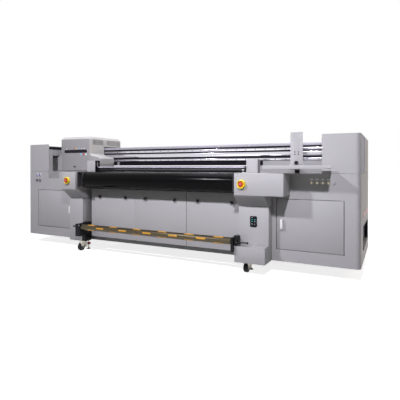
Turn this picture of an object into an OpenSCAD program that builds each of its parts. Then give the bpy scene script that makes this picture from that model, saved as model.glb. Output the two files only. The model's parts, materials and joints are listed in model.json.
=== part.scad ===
/* [Overall] */
// Width over the two end cabinets
overall_w = 4500; // [4480:10:4560]
// Depth of the end cabinets, front face to back face
cabinet_d = 1233; // [1220:1:1260]
// Height of the cabinet bottoms above the floor
floor_gap = 132; // [130:1:136]
// Height of the bed: belt top and cabinet tops
bed_z = 1040; // [1036:1:1042]
// Height of the tower tops
tower_top = 1427; // [1420:1:1440]
// Outer corner radius of the right cabinet and tower
corner_r = 48; // [40:1:52]
// Outer corner radius of the left cabinet and tower
left_corner_r = 10; // [8:1:14]
// Thickness of the sheet metal
sheet_t = 4; // [3:0.5:5]
// Seam between neighbouring sheets
seam = 1; // [0.5:0.5:1.5]

/* [End cabinets] */
// Width of the left cabinet
left_cabinet_w = 910; // [900:1:910]
// Width of the right cabinet
right_cabinet_w = 856; // [846:1:856]
// Width of the left tower cover
left_tower_w = 385; // [380:1:390]
// Width of the right tower cover
right_tower_w = 354; // [350:1:360]
// Width of each door
door_w = 654; // [640:1:656]
// Lower edge of the doors
door_low = 259; // [256:1:270]
// Upper edge of the doors
door_high = 773; // [760:1:780]
// Distance from the left cabinet's outer side to its door
left_door_inset = 180; // [170:1:190]
// Distance from the right cabinet's outer side to its door
right_door_inset = 152; // [145:1:152]
// Thickness of the doors
door_t = 24; // [22:1:26]
// Gap round the doors
door_gap = 6; // [6:0.5:8]
// Height of the door handles
handle_h = 98; // [96:1:104]
// Handle's reach in front of the door
handle_reach = 38; // [34:1:44]

/* [Conveyor] */
// Left edge of the belt
belt_left = -996; // [-996:1:-990]
// Right edge of the belt
belt_right = 1043; // [1036:1:1043]
// Thickness of the belt
belt_t = 3; // [2:0.5:4]
// Outer radius of the belt where it turns round a roller
belt_r = 102.5; // [98:0.5:104]
// Roller axis in front of the cabinet face
roller_reach = 140; // [136:1:142]

/* [Stands] */
// Reach of the arm boxes in front of the cabinet face
arm_reach = 266; // [260:1:270]
// Underside of the arm boxes
arm_low = 817; // [810:1:822]
// Reach of the posts in front of the cabinet face
post_reach = 114; // [110:1:118]
// Height of the posts
post_top = 696; // [690:1:700]
// Reach of the foot box in front of the cabinet face
foot_reach = 245; // [240:1:250]
// Height of the foot box top
foot_top = 299; // [290:1:300]

/* [Gantry] */
// Beam front behind the cabinet face
beam_y = 430; // [428:1:440]
// Beam depth
beam_d = 288; // [270:1:290]
// Beam underside
beam_low = 1125; // [1122:1:1130]
// Beam top
beam_top = 1375; // [1370:1:1378]
// Centre of the parked carriage
carriage_x = -1469; // [-1472:1:-1466]
// Width of the carriage's upper body
carriage_w = 530; // [526:1:534]
// Width of the left lamp housing
lamp_left_w = 76; // [74:1:78]
// Width of the right lamp housing
lamp_right_w = 179; // [174:1:182]
// Carriage front behind the cabinet face
carriage_y = 112; // [108:1:118]
// Carriage top
carriage_top = 1526; // [1515:1:1535]

/* [Roll shafts] */
// Shaft axis in front of the cabinet face
shaft_reach = 245; // [243:1:250]
// Shaft axis height
shaft_z = 343; // [340:1:348]
// Shaft radius
shaft_r = 37; // [36:0.5:38]
// Length of a lug
lug_l = 110; // [90:1:120]
// Distance between lugs in a row
lug_pitch = 345; // [340:1:350]

/* [Operator station] */
// Left edge of the tray
tray_left = 1378; // [1370:1:1384]
// Right edge of the tray
tray_right = 1990; // [1980:1:2000]
// Tray underside
tray_z = 1084; // [1080:1:1088]
// Tray rim height
tray_h = 34; // [30:1:36]
// Width of the monitor plate
plate_w = 119; // [115:1:122]
// Top of the monitor plate
plate_top = 1442; // [1435:1:1450]
// Spacing of the monitor holes
vesa = 75; // [75:25:100]
// Radius of the monitor holes
vesa_hole_r = 2.5; // [2.25:0.25:2.75]

/* [Controls] */
// Radius of the emergency stop guards
guard_r = 44; // [42:1:46]
// Radius of the emergency stop heads
estop_r = 25; // [22:1:26]
// Emergency stop reach in front of its arm box
estop_reach = 36; // [36:1:40]
// Radius of the push buttons
button_r = 11; // [9:0.5:12]
// Distance between push buttons
button_pitch = 54; // [50:1:54]

/* [Casters] */
// Wheel radius
wheel_r = 48; // [44:1:49]
// Wheel width
wheel_w = 32; // [28:1:34]
// Distance of the casters from the machine's centre
caster_x = 1152; // [1150:1:1170]

/* [Hidden] */
$fn = 64;
side_x = overall_w / 2;
left_x = -side_x + left_cabinet_w;
right_x = side_x - right_cabinet_w;
tower_in = [-side_x + left_tower_w, side_x - right_tower_w];
lug_h = 2;
shaft_front = shaft_reach + shaft_r + lug_h;
front_reach = arm_reach + estop_reach;
face_y = -(cabinet_d + shaft_front - front_reach) / 2;
fit = 0.05;
clear = 0.5;
hinge_in = 12;
hinge_y = door_t / 2;
pin_r = 4;
pin_l = 20;
lug_block = 24;
left_door_x = -side_x + left_door_inset;
right_door_x = side_x - right_door_inset;
handle_z = (door_low + door_high) / 2;
handle_w = 24;
handle_t = 12;
handle_in = [15, 57];
bay_y = [311, 1085];
bay_z = [262, 490];
bottle_r = 40;
bottle_h = 150;
bottle_x = side_x - 75;
bottle_count = 8;
gate_y = 73;
gate_z = 1268;
notch_y = [404, 760];
notch_top = 1394;
lid_drop = 31;
roller_z = bed_z - belt_r;
roller_r = belt_r - belt_t - 0.3;
journal_r = 20;
valve_r = 9;
roller_disc = 15;
roller_wall = 9;
post_left = [left_x + seam, -1109];
arm_left = [-1325, -1090];
post_right = [1070, right_x - seam];
arm_right = [1076, 1582];
post_back = 38;
frame_y = 40;
pillar_x = [-1930, tower_in[1] + 50];
panel_y = -20;
panel_t = 3;
panel_left = -1045;
panel_pitch = 717;
panel_z = [191, 820];
knob_z = 718;
knob_spread = 207;
rail_h = 58;
tube_w = 80;
tube_wall = 5;
side_left = [-1088, belt_left - 6];
side_right = [belt_right + 6, arm_right[0] - 2];
side_low = 845;
side_reach = 235;
rail_z = [1193, 1310];
rail_t = 15;
lip_h = 39;
beam_wall = 12;
band_z = [1233, 1278];
head_low = bed_z + 14;
skirt_low = bed_z + 12;
chamfer = 30;
cover_wall = 6;
overhang_y = 780;
cheek_y = 411;
lamp_root = 1286;
lamp_top = 1258;
lamp_slope = 0.16;
slide_gap = 0.5;
wrap_y = beam_y - rail_t - 37;
block_left = [-1152, -1010];
block_right = [1108, 1236];
block_y = [10, 100];
block_top = 1188;
press_y = 55;
press_bar_r = 18.5;
press_bar_z = bed_z + 55;
press_r = 17;
press_z = bed_z + 1.5 + press_r;
press_x = [-1004, 1090];
slot_depth = 22;
slot_w = 24;
bracket_low = 228;
bracket_top = 382;
bracket_in = 1046;
skirt_left = 1165;
motor_x = 1126;
motor_z = [318, 404];
motor_y = [-265, -215];
lever_x = 1104;
chuck_in = 992;
lever_l = 118;
lug_rows = [[-881, 6], [-732, 5]];
estop_x = [-1227, 1157];
estop_z = 929;
stem_r = 9;
display_x = [1196, 1270];
display_z = [483, 596];
button_x = 1796;
button_z = 945;
knob_x = [-2097, -2036];
regulator_z = 917;
regulator_r = 13;
plate_x = 1684;
plate_y = -150;
tilt_z = tray_z + 36;
clamp_z = tilt_z + 24;
tray_post_x = [1629, 1676];
tilt_y = plate_y + 10;
tilt_knob_r = 19;
tray_y = [-290, -70];
swivel_y = -70;
trail = 28;
wheel_z = wheel_r + 3;
wheel_bore = 8;
foot_y = 40;
lug_phase = 21;
bracket_t = 25;

// Box between its low and its high corner
module span(low, high) {
  translate(low) cube(high - low);
}

// Square tube between its low and its high corner, open along one axis
module tube(low, high, axis) {
  inset = [for (i = [0:2]) i == axis ? -1 : tube_wall];
  difference() {
    span(low, high);
    span(low + inset, high - inset);
  }
}

// Round bar along X, centred on the X axis
module bar_x(x0, x1, r) {
  translate([x0, 0, 0]) rotate([0, 90, 0]) cylinder(h = x1 - x0, r = r);
}

// Round bar along Y, centred on the Y axis
module bar_y(y0, y1, r) {
  translate([0, y0, 0]) rotate([-90, 0, 0]) cylinder(h = y1 - y0, r = r);
}

// Outline in Y and Z, drawn out along X
module profile_x(x, points) {
  translate([x[0], 0, 0]) rotate([90, 0, 90]) linear_extrude(x[1] - x[0]) polygon(points);
}

// Outline in X and Z, drawn out along Y
module profile_y(y, points) {
  translate([0, y[1], 0]) rotate([90, 0, 0]) linear_extrude(y[1] - y[0]) polygon(points);
}

// Places a piece by its distance behind the cabinets' front face
module from_front() {
  translate([0, face_y, 0]) children();
}

// The same for the back, counted from the back face
module from_back() {
  translate([0, face_y + cabinet_d, 0]) mirror([0, 1, 0]) children();
}

// Quarter-round corner of a cover, bulging towards low X and low Y
module cover_corner(z, r) {
  intersection() {
    translate([r, r, z[0]]) difference() {
      cylinder(h = z[1] - z[0], r = r);
      translate([0, 0, -1]) cylinder(h = z[1] - z[0] + 2, r = r - sheet_t);
    }
    span([0, 0, z[0]], [r, r, z[1]]);
  }
}

// Both outer corners of a cover whose outer side is at X = 0
module cover_corners(z, r) {
  cover_corner(z, r);
  translate([0, cabinet_d, 0]) mirror([0, 1, 0]) cover_corner(z, r);
}

// Flat top or bottom sheet with two rounded outer corners
module cover_lid(w, z, r) {
  inset = sheet_t + seam;
  translate([0, 0, z]) linear_extrude(sheet_t) {
    translate([r, inset]) square([w - r - inset, cabinet_d - 2 * inset]);
    translate([inset, r]) square([r, cabinet_d - 2 * r]);
    for (y = [r, cabinet_d - r]) translate([r, y]) circle(r - inset);
  }
}

// Lower cabinet: separate sheets round a door opening, with bores for its controls
module cabinet(w, r, door_inset, has_bay, bores) {
  z = [floor_gap, bed_z];
  door_x = [door_inset - door_gap, door_inset + door_w + door_gap];
  door_z = [door_low - door_gap, door_high + door_gap];
  edge = r + seam;
  inner = [sheet_t + seam, cabinet_d - sheet_t - seam];
  cover_corners(z, r);
  cover_lid(w, z[0], r);
  cover_lid(w, z[1] - sheet_t, r);
  difference() {
    span([edge, 0, door_z[1]], [w, sheet_t, z[1]]);
    for (b = bores) translate([b[0], 0, b[1]]) bar_y(-1, sheet_t + 1, b[2]);
  }
  span([edge, 0, z[0]], [w, sheet_t, door_z[0]]);
  span([edge, 0, door_z[0] + seam], [door_x[0], sheet_t, door_z[1] - seam]);
  span([door_x[1], 0, door_z[0] + seam], [w, sheet_t, door_z[1] - seam]);
  span([edge, cabinet_d - sheet_t, z[0]], [w, cabinet_d, z[1]]);
  span([w - sheet_t, inner[0], z[0]], [w, inner[1], z[1]]);
  if (has_bay) {
    span([0, edge, z[0]], [sheet_t, bay_y[0], z[1]]);
    span([0, bay_y[1], z[0]], [sheet_t, cabinet_d - edge, z[1]]);
    span([0, bay_y[0] + seam, z[0]], [sheet_t, bay_y[1] - seam, bay_z[0]]);
    span([0, bay_y[0] + seam, bay_z[1]], [sheet_t, bay_y[1] - seam, z[1]]);
    span([sheet_t + seam, bay_y[0], bay_z[0] - sheet_t], [2 * bottle_r + 70, bay_y[1], bay_z[0]]);
  } else {
    span([0, edge, z[0]], [sheet_t, cabinet_d - edge, z[1]]);
  }
  pivot_lug(door_inset + hinge_in, [door_z[1], door_z[1] + lug_block]);
  pivot_lug(door_inset + hinge_in, [door_z[0] - lug_block, door_z[0]]);
}

// Block behind the front sheet that holds one door pin
module pivot_lug(x, z) {
  difference() {
    span([x - hinge_in, sheet_t + clear, z[0]], [x + hinge_in, door_t + sheet_t, z[1]]);
    translate([x, hinge_y, z[0] - 1]) cylinder(h = lug_block + 2, r = pin_r);
  }
}

// Tower cover with a sunk lid, and the gate that the carriage passes through in its inner wall
module tower(w, r) {
  z = [bed_z + seam, tower_top];
  lid_z = tower_top - lid_drop - sheet_t;
  wall_z = lid_z - seam;
  edge = r + seam;
  wall_x = [w - sheet_t, w];
  inner = [sheet_t + seam, cabinet_d - sheet_t - seam];
  cover_corners(z, r);
  cover_lid(w, lid_z, r);
  span([0, edge, z[0]], [sheet_t, cabinet_d - edge, z[1]]);
  span([edge, 0, z[0]], [w, sheet_t, z[1]]);
  span([edge, cabinet_d - sheet_t, z[0]], [w, cabinet_d, z[1]]);
  span([wall_x[0], inner[0], z[0]], [wall_x[1], gate_y, wall_z]);
  span([wall_x[0], gate_y + seam, gate_z], [wall_x[1], notch_y[0], wall_z]);
  span([wall_x[0], notch_y[1] + seam, z[0]], [wall_x[1], inner[1], wall_z]);
}

// Welded steel tubes that carry the bed, the cabinets and the beam
module base_frame() {
  top = floor_gap + rail_h;
  half = tube_w / 2;
  back = frame_y + tube_w;
  across = [left_x + tube_w, -440, 360, right_x - tube_w];
  cabinet_tube_y = [300, 360];
  pillar_y = [500, 640];
  color("#4A4A4D") from_front() {
    for (side = [0, 1]) translate([0, side * cabinet_d, 0]) mirror([0, side, 0]) {
      tube([left_x + seam, frame_y, floor_gap], [right_x - seam, back, top], 0);
      tube([side_left[0] + 12, frame_y + 5, top + 1], [side_left[1] - 12, back - 15, side_low], 2);
      tube([side_right[0], frame_y + 5, top + 1], [side_right[1] + 14, back - 15, side_low], 2);
      for (x = [[-side_x + 60, left_x - sheet_t], [right_x + sheet_t, side_x - 200]])
        tube([x[0], cabinet_tube_y[0], floor_gap + sheet_t], [x[1], cabinet_tube_y[1], top], 0);
    }
    for (x = across) tube([x - half, back + 1, floor_gap], [x + half, cabinet_d - back - 1, top], 1);
    for (x = pillar_x) translate([x, 0, 0]) {
      tube([-half, pillar_y[0], floor_gap + sheet_t], [half, pillar_y[1], bed_z - sheet_t], 2);
      tube([-half, beam_y + 10, bed_z], [half, beam_y + beam_d - 10, beam_low], 2);
    }
  }
}

module left_cabinet() {
  bores = [for (x = knob_x) [x + side_x, regulator_z, 5 + fit]];
  color("#A9A8B0") translate([-side_x, face_y, 0])
    cabinet(left_cabinet_w, left_corner_r, left_door_inset, false, bores);
}

module right_cabinet() {
  bores = [for (i = [0:4]) [side_x - button_x - i * button_pitch, button_z, button_r + fit]];
  color("#A9A8B0") translate([side_x, face_y, 0]) mirror([1, 0, 0])
    cabinet(right_cabinet_w, corner_r, right_door_inset, true, bores);
}

module left_tower() {
  color("#B4B3BA") translate([-side_x, face_y, 0]) tower(left_tower_w, left_corner_r);
}

module right_tower() {
  color("#B4B3BA") translate([side_x, face_y, 0]) mirror([1, 0, 0]) tower(right_tower_w, corner_r);
}

// Three lift-off panels in front and three at the back
module lower_panels() {
  color("#A5A4AC") {
    from_front() panel_row();
    from_back() panel_row();
  }
}

// Panels with flanges that reach back to the frame
module panel_row() {
  face = panel_y + panel_t;
  back = frame_y + 4;
  z = panel_z;
  outline = [[panel_y, z[0]], [back, z[0]], [back, z[0] + panel_t], [face, z[0] + panel_t],
    [face, z[1] - panel_t], [back, z[1] - panel_t], [back, z[1]], [panel_y, z[1]]];
  for (i = [0:2]) {
    x = panel_left + i * panel_pitch;
    profile_x([x, min(x + panel_pitch - seam, bracket_in - seam)], outline);
  }
}

// Two black knobs on each lift-off panel
module panel_knobs() {
  color("#1E1E20") {
    from_front() knob_row();
    from_back() knob_row();
  }
}

module knob_row() {
  for (i = [0:2], s = [-1, 1])
    translate([panel_left + (i + 0.5) * panel_pitch + s * knob_spread, 0, knob_z]) {
      bar_y(panel_y - 9, panel_y, 10);
      bar_y(panel_y - 27, panel_y - 9, 18);
      bar_y(panel_y - 38, panel_y - 27, 9);
    }
}

// Sheet metal posts and arm boxes at the four corners of the conveyor
module front_stands() {
  color("#B0AFB7") from_front() {
    stand_pair();
    difference() {
      span([post_right[0], -foot_reach, floor_gap], [post_right[1], -post_reach - seam, foot_top]);
      span([post_right[0] + sheet_t, sheet_t - foot_reach, floor_gap - 1],
        [post_right[1] - sheet_t, -post_reach, foot_top - sheet_t]);
    }
  }
}

// The rear pair, and the deck sheets between the stands
module rear_stands() {
  deck_z = [bed_z + seam - sheet_t, bed_z + seam];
  color("#B0AFB7") {
    from_back() stand_pair();
    from_front() {
      deck([left_x + seam, side_left[0] - seam], post_back + seam, deck_z);
      deck([side_right[1] + seam, right_x - seam], 0, deck_z);
    }
  }
}

module deck(x, inset, z) {
  span([x[0], inset, z[0]], [x[1], cabinet_d - inset, z[1]]);
}

module stand_pair() {
  post(post_left);
  post(post_right);
  arm_box(arm_left, post_back);
  arm_box(arm_right, -seam);
  gusset(arm_left, post_back);
  gusset(post_right, -seam);
}

// Upright post, open at its back
module post(x) {
  difference() {
    span([x[0], -post_reach, floor_gap], [x[1], post_back, post_top]);
    span([x[0] + sheet_t, sheet_t - post_reach, floor_gap + sheet_t],
      [x[1] - sheet_t, post_back + 1, post_top - sheet_t]);
  }
}

// Box that carries the roller end, open at its back
module arm_box(x, back) {
  difference() {
    span([x[0], -arm_reach, arm_low], [x[1], back, bed_z + seam]);
    span([x[0] + sheet_t, sheet_t - arm_reach, arm_low + sheet_t],
      [x[1] - sheet_t, back + 1, bed_z + seam - sheet_t]);
  }
}

// Sloped underside between the post and the arm box, open at its back
module gusset(x, back) {
  z = [post_top + seam, arm_low - clear];
  difference() {
    profile_x(x, [[-arm_reach, z[1]], [back, z[1]], [back, z[0]], [-post_reach, z[0]]]);
    profile_x([x[0] + sheet_t, x[1] - sheet_t], [[3 * sheet_t - arm_reach, z[1] - sheet_t],
      [back + 1, z[1] - sheet_t], [back + 1, z[0] + sheet_t], [2 * sheet_t - post_reach, z[0] + sheet_t]]);
  }
}

// Black side members with the bearing bores of both rollers
module conveyor_side_plates() {
  color("#1D1D20") for (x = [side_left, side_right]) difference() {
    tube([x[0], face_y - side_reach, side_low], [x[1], face_y + cabinet_d + side_reach, bed_z + seam], 1);
    for (y = roller_axes()) translate([0, y, roller_z]) bar_x(x[0] - 1, x[1] + 1, journal_r + fit);
  }
}

function roller_axes() = [face_y - roller_reach, face_y + cabinet_d + roller_reach];

// Hollow suction box under the belt
module vacuum_table() {
  color("#77777C") difference() {
    span([belt_left + 6, face_y, side_low], [belt_right - 6, face_y + cabinet_d, bed_z - belt_t - clear]);
    span([belt_left + 18, face_y + 12, side_low - 1],
      [belt_right - 18, face_y + cabinet_d - 12, bed_z - belt_t - 12]);
  }
}

// Belt: upper run with its splice, lower run and the turn round each roller
module conveyor_belt() {
  axes = roller_axes();
  splice = face_y + block_y[1] + 5;
  low = roller_z - belt_r;
  color("#1C1C1E") {
    span([belt_left, axes[0] + clear, bed_z - belt_t], [belt_right, splice - clear, bed_z]);
    span([belt_left, splice, bed_z - belt_t], [belt_right, axes[1] - clear, bed_z]);
    span([belt_left, axes[0] + clear, low], [belt_right, axes[1] - clear, low + belt_t]);
    belt_turn(axes[0]);
    translate([0, axes[0] + axes[1], 0]) mirror([0, 1, 0]) belt_turn(axes[0]);
  }
}

module belt_turn(y) {
  translate([0, y, roller_z]) intersection() {
    difference() {
      bar_x(belt_left, belt_right, belt_r);
      bar_x(belt_left - 1, belt_right + 1, belt_r - belt_t);
    }
    span([belt_left, -belt_r - 1, -belt_r - 1], [belt_right, 0, belt_r + 1]);
  }
}

// Beam box with a lip over the rails, and the skirt under its right end
module gantry_beam() {
  x = [tower_in[0] - 90, tower_in[1] + 90];
  lip_y = beam_y - rail_t;
  color("#C2C1C8") from_front() {
    difference() {
      profile_x(x, [[beam_y, beam_low], [beam_y + beam_d, beam_low], [beam_y + beam_d, beam_top],
        [lip_y, beam_top], [lip_y, beam_top - lip_h], [beam_y, beam_top - lip_h]]);
      span([x[0] - 1, beam_y + beam_wall, beam_low + beam_wall],
        [x[1] + 1, beam_y + beam_d - beam_wall, beam_top - beam_wall]);
    }
    span([skirt_left, beam_y + 10, bed_z + seam], [tower_in[1] - 10, beam_y + 14, beam_low - seam]);
  }
}

// Two bright linear rails and the bright guide band between them
module linear_rails() {
  x = [tower_in[0] - 60, tower_in[1] + 60];
  color("#D8D6DE") from_front() {
    for (z = rail_z) span([x[0], beam_y - rail_t, z - 12.5], [x[1], beam_y, z + 12.5]);
    span([x[0], beam_y - 8, band_z[0]], [x[1], beam_y, band_z[1]]);
  }
}

// Yellow notched collars round the emergency stops
module estop_guards() {
  color("#F2D21F") for (x = estop_x) translate([x, face_y - arm_reach, estop_z]) difference() {
    union() {
      bar_y(-10, 0, guard_r);
      bar_y(-30, -10, guard_r - 2);
    }
    bar_y(-31, -10, guard_r - 11);
    bar_y(-11, 1, stem_r + fit);
    span([-guard_r - 1, -31, -18], [0, -14, 18]);
  }
}

// Small operator display on the right post
module display_panel() {
  color("#1B2226") translate([0, face_y - post_reach, 0]) {
    span([display_x[0], -7, display_z[0]], [display_x[1], 0, display_z[1]]);
    span([display_x[0] + 8, -9, display_z[1] - 44], [display_x[1] - 8, -7, display_z[1] - 8]);
  }
}

// Post on the right cabinet's top with an arm that carries the tray
module tray_post() {
  arm_t = 8;
  color("#222225") from_front() profile_x(tray_post_x, [[5, bed_z], [45, bed_z], [45, tray_z], [-200, tray_z],
    [-200, tray_z - arm_t], [5, tray_z - arm_t]]);
}

// Shallow tray, open at the right: shelf, back strip, three rim strips and the ears of the monitor hinge
module tray() {
  t = 3;
  inner = t + clear;
  base = tray_z + 6;
  rim = tray_z + tray_h;
  split = plate_y - 26;
  color("#C4C3CA") from_front() {
    for (y = [[tray_y[0] + inner, split], [split + clear, tray_y[1] - inner]])
      span([tray_left + inner, y[0], tray_z], [tray_right, y[1], base]);
    for (y = [tray_y[0], tray_y[1] - t]) span([tray_left, y, tray_z], [tray_right, y + t, rim]);
    span([tray_left, tray_y[0] + inner, tray_z], [tray_left + t, tray_y[1] - inner, rim]);
    for (s = [-1, 1]) difference() {
      span([plate_x + s * (plate_w / 2 + 8) - 6, tilt_y - 14, base + clear],
        [plate_x + s * (plate_w / 2 + 8) + 6, tilt_y + 14, tilt_z + 14]);
      translate([plate_x, tilt_y, tilt_z]) bar_x(-plate_w, plate_w, 6 + fit);
    }
  }
}

// Blocks beside the belt with the upright slots of the pressure bar
module pressure_blocks() {
  slot_z = [bed_z + 12, block_top - 12];
  color("#B9B8BF") from_front() for (x = [block_left, block_right]) difference() {
    span([x[0], block_y[0], bed_z + seam], [x[1], block_y[1], block_top]);
    face = x[0] < 0 ? [x[1] - slot_depth, x[1] + 1] : [x[0] - 1, x[0] + slot_depth];
    span([face[0], press_y - slot_w / 2, slot_z[0]], [face[1], press_y + slot_w / 2, slot_z[1]]);
  }
}

// Black cheeks that carry the roll shafts, front and back
module shaft_brackets() {
  color("#19191B") {
    from_front() bracket_pair();
    from_back() bracket_pair();
  }
}

module bracket_pair() {
  back = panel_y - seam;
  left = [-bracket_in - bracket_t, -bracket_in];
  right = [bracket_in, post_right[0]];
  bracket(left, [bracket_low, bracket_top], back, [post_left[1], left[1]], [left[0], -chuck_in]);
  bracket(right, [bracket_low + 12, bracket_top + 2], back, right, right);
  span([post_left[1], -post_reach - 14, bracket_low - 90], [-bracket_in, back, bracket_low - clear]);
}

// Plate that carries a journal in its chuck block, with a foot that is fixed to the side of the post
module bracket(x, z, back, foot_span, chuck) {
  difference() {
    union() {
      span([x[0], -shaft_reach - 40, z[0]], [x[1], back, z[1]]);
      span([foot_span[0], -post_reach, z[0]], [foot_span[1], back, z[1]]);
      span([chuck[0], -shaft_reach - 40, z[0]], [chuck[1], 25 - shaft_reach, z[1]]);
    }
    translate([0, -shaft_reach, shaft_z]) bar_x(chuck[0] - 1, chuck[1] + 1, journal_r + fit);
  }
}

// Motor and clutch housing beside the take-up shaft
module takeup_motor() {
  color("#26262A") from_front() difference() {
    profile_x([post_right[0] + clear, motor_x], [[motor_y[0], motor_z[0]], [motor_y[1], motor_z[0]],
      [motor_y[1], motor_z[1]], [motor_y[0] + 12, motor_z[1]], [motor_y[0], motor_z[1] - 12]]);
    translate([lever_x, motor_y[0] - 1, shaft_z]) bar_y(0, 40, 8 + fit);
  }
}

// Screw feet with pads and red hand wheels that carry the machine
module levelling_feet() {
  color("#C03A30") for (x = [-caster_x, caster_x], y = foot_rows()) translate([x, y, 0]) {
    cylinder(h = 10, r = 26);
    translate([0, 0, 10]) cylinder(h = floor_gap - 10, r = 9);
    translate([0, 0, 62]) cylinder(h = 22, r = 26);
  }
}

function foot_rows() = [face_y + foot_y, face_y + cabinet_d - foot_y];

// Bottles standing in the open bay
module ink_bottles() {
  step = (bay_y[1] - bay_y[0]) / bottle_count;
  color("#5E86B8") from_front() for (i = [0:bottle_count - 1])
    translate([bottle_x, bay_y[0] + step * (i + 0.5), bay_z[0]]) {
      cylinder(h = bottle_h, r = bottle_r);
      translate([0, 0, bottle_h]) cylinder(h = 26, r = 17);
    }
}

// Mounting plate with drives and supplies in the left cabinet
module electrics_panel() {
  y = cabinet_d - sheet_t - seam;
  color("#D9D9D4") from_front() translate([left_door_x + 60, 0, 0]) {
    span([0, y - 3, 300], [540, y, 940]);
    for (i = [0:3]) span([20 + i * 130, y - 113, 700], [130 + i * 130, y - 3, 900]);
    for (i = [0:1]) span([20 + i * 260, y - 93, 380], [260 + i * 260, y - 3, 600]);
  }
}

// Four pins that the doors turn on
module door_pivot_pins() {
  color("#9A9AA0") from_front()
    for (x = [left_door_x + hinge_in, right_door_x - hinge_in],
      z = [door_low - door_gap - pin_l, door_high - pin_l])
      translate([x, hinge_y, z]) cylinder(h = 2 * pin_l + door_gap, r = pin_r);
}

// Drip tray with sealing lips under the parked heads
module capping_station() {
  color("#3B3B40") from_front() translate([0, carriage_y, bed_z]) {
    span([carriage_x - 240, 30, 0], [left_x - 20, 250, 6]);
    for (i = [0:2]) span([carriage_x - 220 + i * 110, 50, 6], [carriage_x - 140 + i * 110, 230, 9]);
  }
}

// Yoke with side cheeks and an axle bore, wheel below and ahead of its pivot
module caster_yoke(bore) {
  cheek = wheel_w / 2 + 4;
  difference() {
    union() {
      translate([0, 0, floor_gap - 14]) cylinder(h = 13.5, r = 36);
      span([-cheek - 5, -trail - 22, wheel_r * 2 + 8], [cheek + 5, 62, floor_gap - 14]);
      span([-cheek - 5, wheel_r - trail + 4, wheel_z - 8], [cheek + 5, 62, wheel_r * 2 + 9]);
      for (s = [-1, 1]) translate([s * (cheek + 2.5), 0, 0])
        profile_x([-2.5, 2.5], [[-trail - 14, wheel_z - 14], [-trail + 14, wheel_z - 14], [24, wheel_r * 2 + 8],
          [-trail - 22, wheel_r * 2 + 8]]);
    }
    translate([0, -trail, wheel_z]) bar_x(-cheek - 6, cheek + 6, bore);
  }
}

module left_caster_fork() {
  color("#CFC9B8") translate([-caster_x, face_y + swivel_y, 0]) caster_yoke(wheel_bore + fit);
}

module right_caster_fork() {
  color("#CFC9B8") translate([caster_x, face_y + swivel_y, 0]) caster_yoke(wheel_bore + fit);
}

module rear_caster_forks() {
  color("#CFC9B8") for (x = [-caster_x, caster_x])
    translate([x, face_y + cabinet_d - swivel_y, 0]) mirror([0, 1, 0]) caster_yoke(wheel_bore + fit);
}

// Rubber-tyred wheel with its axle
module caster_wheel(x, y) {
  translate([x, y, wheel_z]) {
    bar_x(-wheel_w / 2, wheel_w / 2, wheel_r);
    bar_x(-wheel_w / 2 - 9, wheel_w / 2 + 9, wheel_bore);
  }
}

module front_left_wheel() {
  color("#17171A") caster_wheel(-caster_x, face_y + swivel_y - trail);
}

module front_right_wheel() {
  color("#17171A") caster_wheel(caster_x, face_y + swivel_y - trail);
}

module rear_left_wheel() {
  color("#17171A") caster_wheel(-caster_x, face_y + cabinet_d - swivel_y + trail);
}

module rear_right_wheel() {
  color("#17171A") caster_wheel(caster_x, face_y + cabinet_d - swivel_y + trail);
}

// Belt roller with a journal at each end
module belt_roller(y) {
  ends = [belt_left + 2, belt_right - 2];
  translate([0, y, roller_z]) {
    difference() {
      bar_x(ends[0], ends[1], roller_r);
      bar_x(ends[0] + roller_disc, ends[1] - roller_disc, roller_r - roller_wall);
      for (a = [0:90:270])
        rotate([a, 0, 0]) translate([0, 0, roller_r * 0.55]) bar_x(ends[0] - 1, ends[1] + 1, 16);
    }
    bar_x(side_left[0] + 10, side_right[1] - 1, journal_r);
  }
}

module front_roller() {
  color("#6B6B70") belt_roller(roller_axes()[0]);
}

module rear_roller() {
  color("#6B6B70") belt_roller(roller_axes()[1]);
}

// Air shaft core with its journals and the valve end
module shaft_core() {
  bar_x(4 - chuck_in, bracket_in - 6, shaft_r);
  bar_x(post_left[1] + 8, post_right[0] - 1, journal_r);
  bar_x(post_left[1] - 36, post_left[1] + 9, valve_r);
}

// Places one lug-sized child at each lug, alternate rows set back
module each_lug() {
  for (row = [0:5], i = [0:lug_rows[row % 2][1] - 1])
    rotate([60 * row + lug_phase, 0, 0]) translate([lug_rows[row % 2][0] + i * lug_pitch, 0, 0]) children();
}

// Space of one lug, from the pocket floor outwards
module lug_space(grow) {
  span([-grow, -9 - grow, shaft_r - 4], [lug_l + grow, 9 + grow, shaft_r + 8]);
}

module takeup_shaft() {
  color("#6E6558") translate([0, face_y - shaft_reach, shaft_z]) difference() {
    shaft_core();
    each_lug() lug_space(0.2);
  }
}

// Inflating lugs set into the pockets of the take-up shaft
module takeup_lugs() {
  color("#D9A22C") translate([0, face_y - shaft_reach, shaft_z]) each_lug() intersection() {
    lug_space(0);
    bar_x(-1, lug_l + 1, shaft_r + lug_h);
  }
}

module unwind_shaft() {
  color("#6E6558") translate([0, face_y + cabinet_d + shaft_reach, shaft_z]) {
    shaft_core();
    for (i = [0, lug_rows[0][1] - 1])
      translate([lug_rows[0][0] + i * lug_pitch, 0, 0]) bar_x(0, lug_l, shaft_r + lug_h);
  }
}

// Clutch lever on the front of the motor housing
module takeup_lever() {
  color("#202023") translate([lever_x, face_y + motor_y[0], shaft_z]) {
    bar_y(-14, -1, 14);
    bar_y(-1, 38, 8);
    span([0, -12, -6], [lever_l, -4, 6]);
    translate([lever_l, 0, 0]) bar_y(-16, -2, 10);
  }
}

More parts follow.
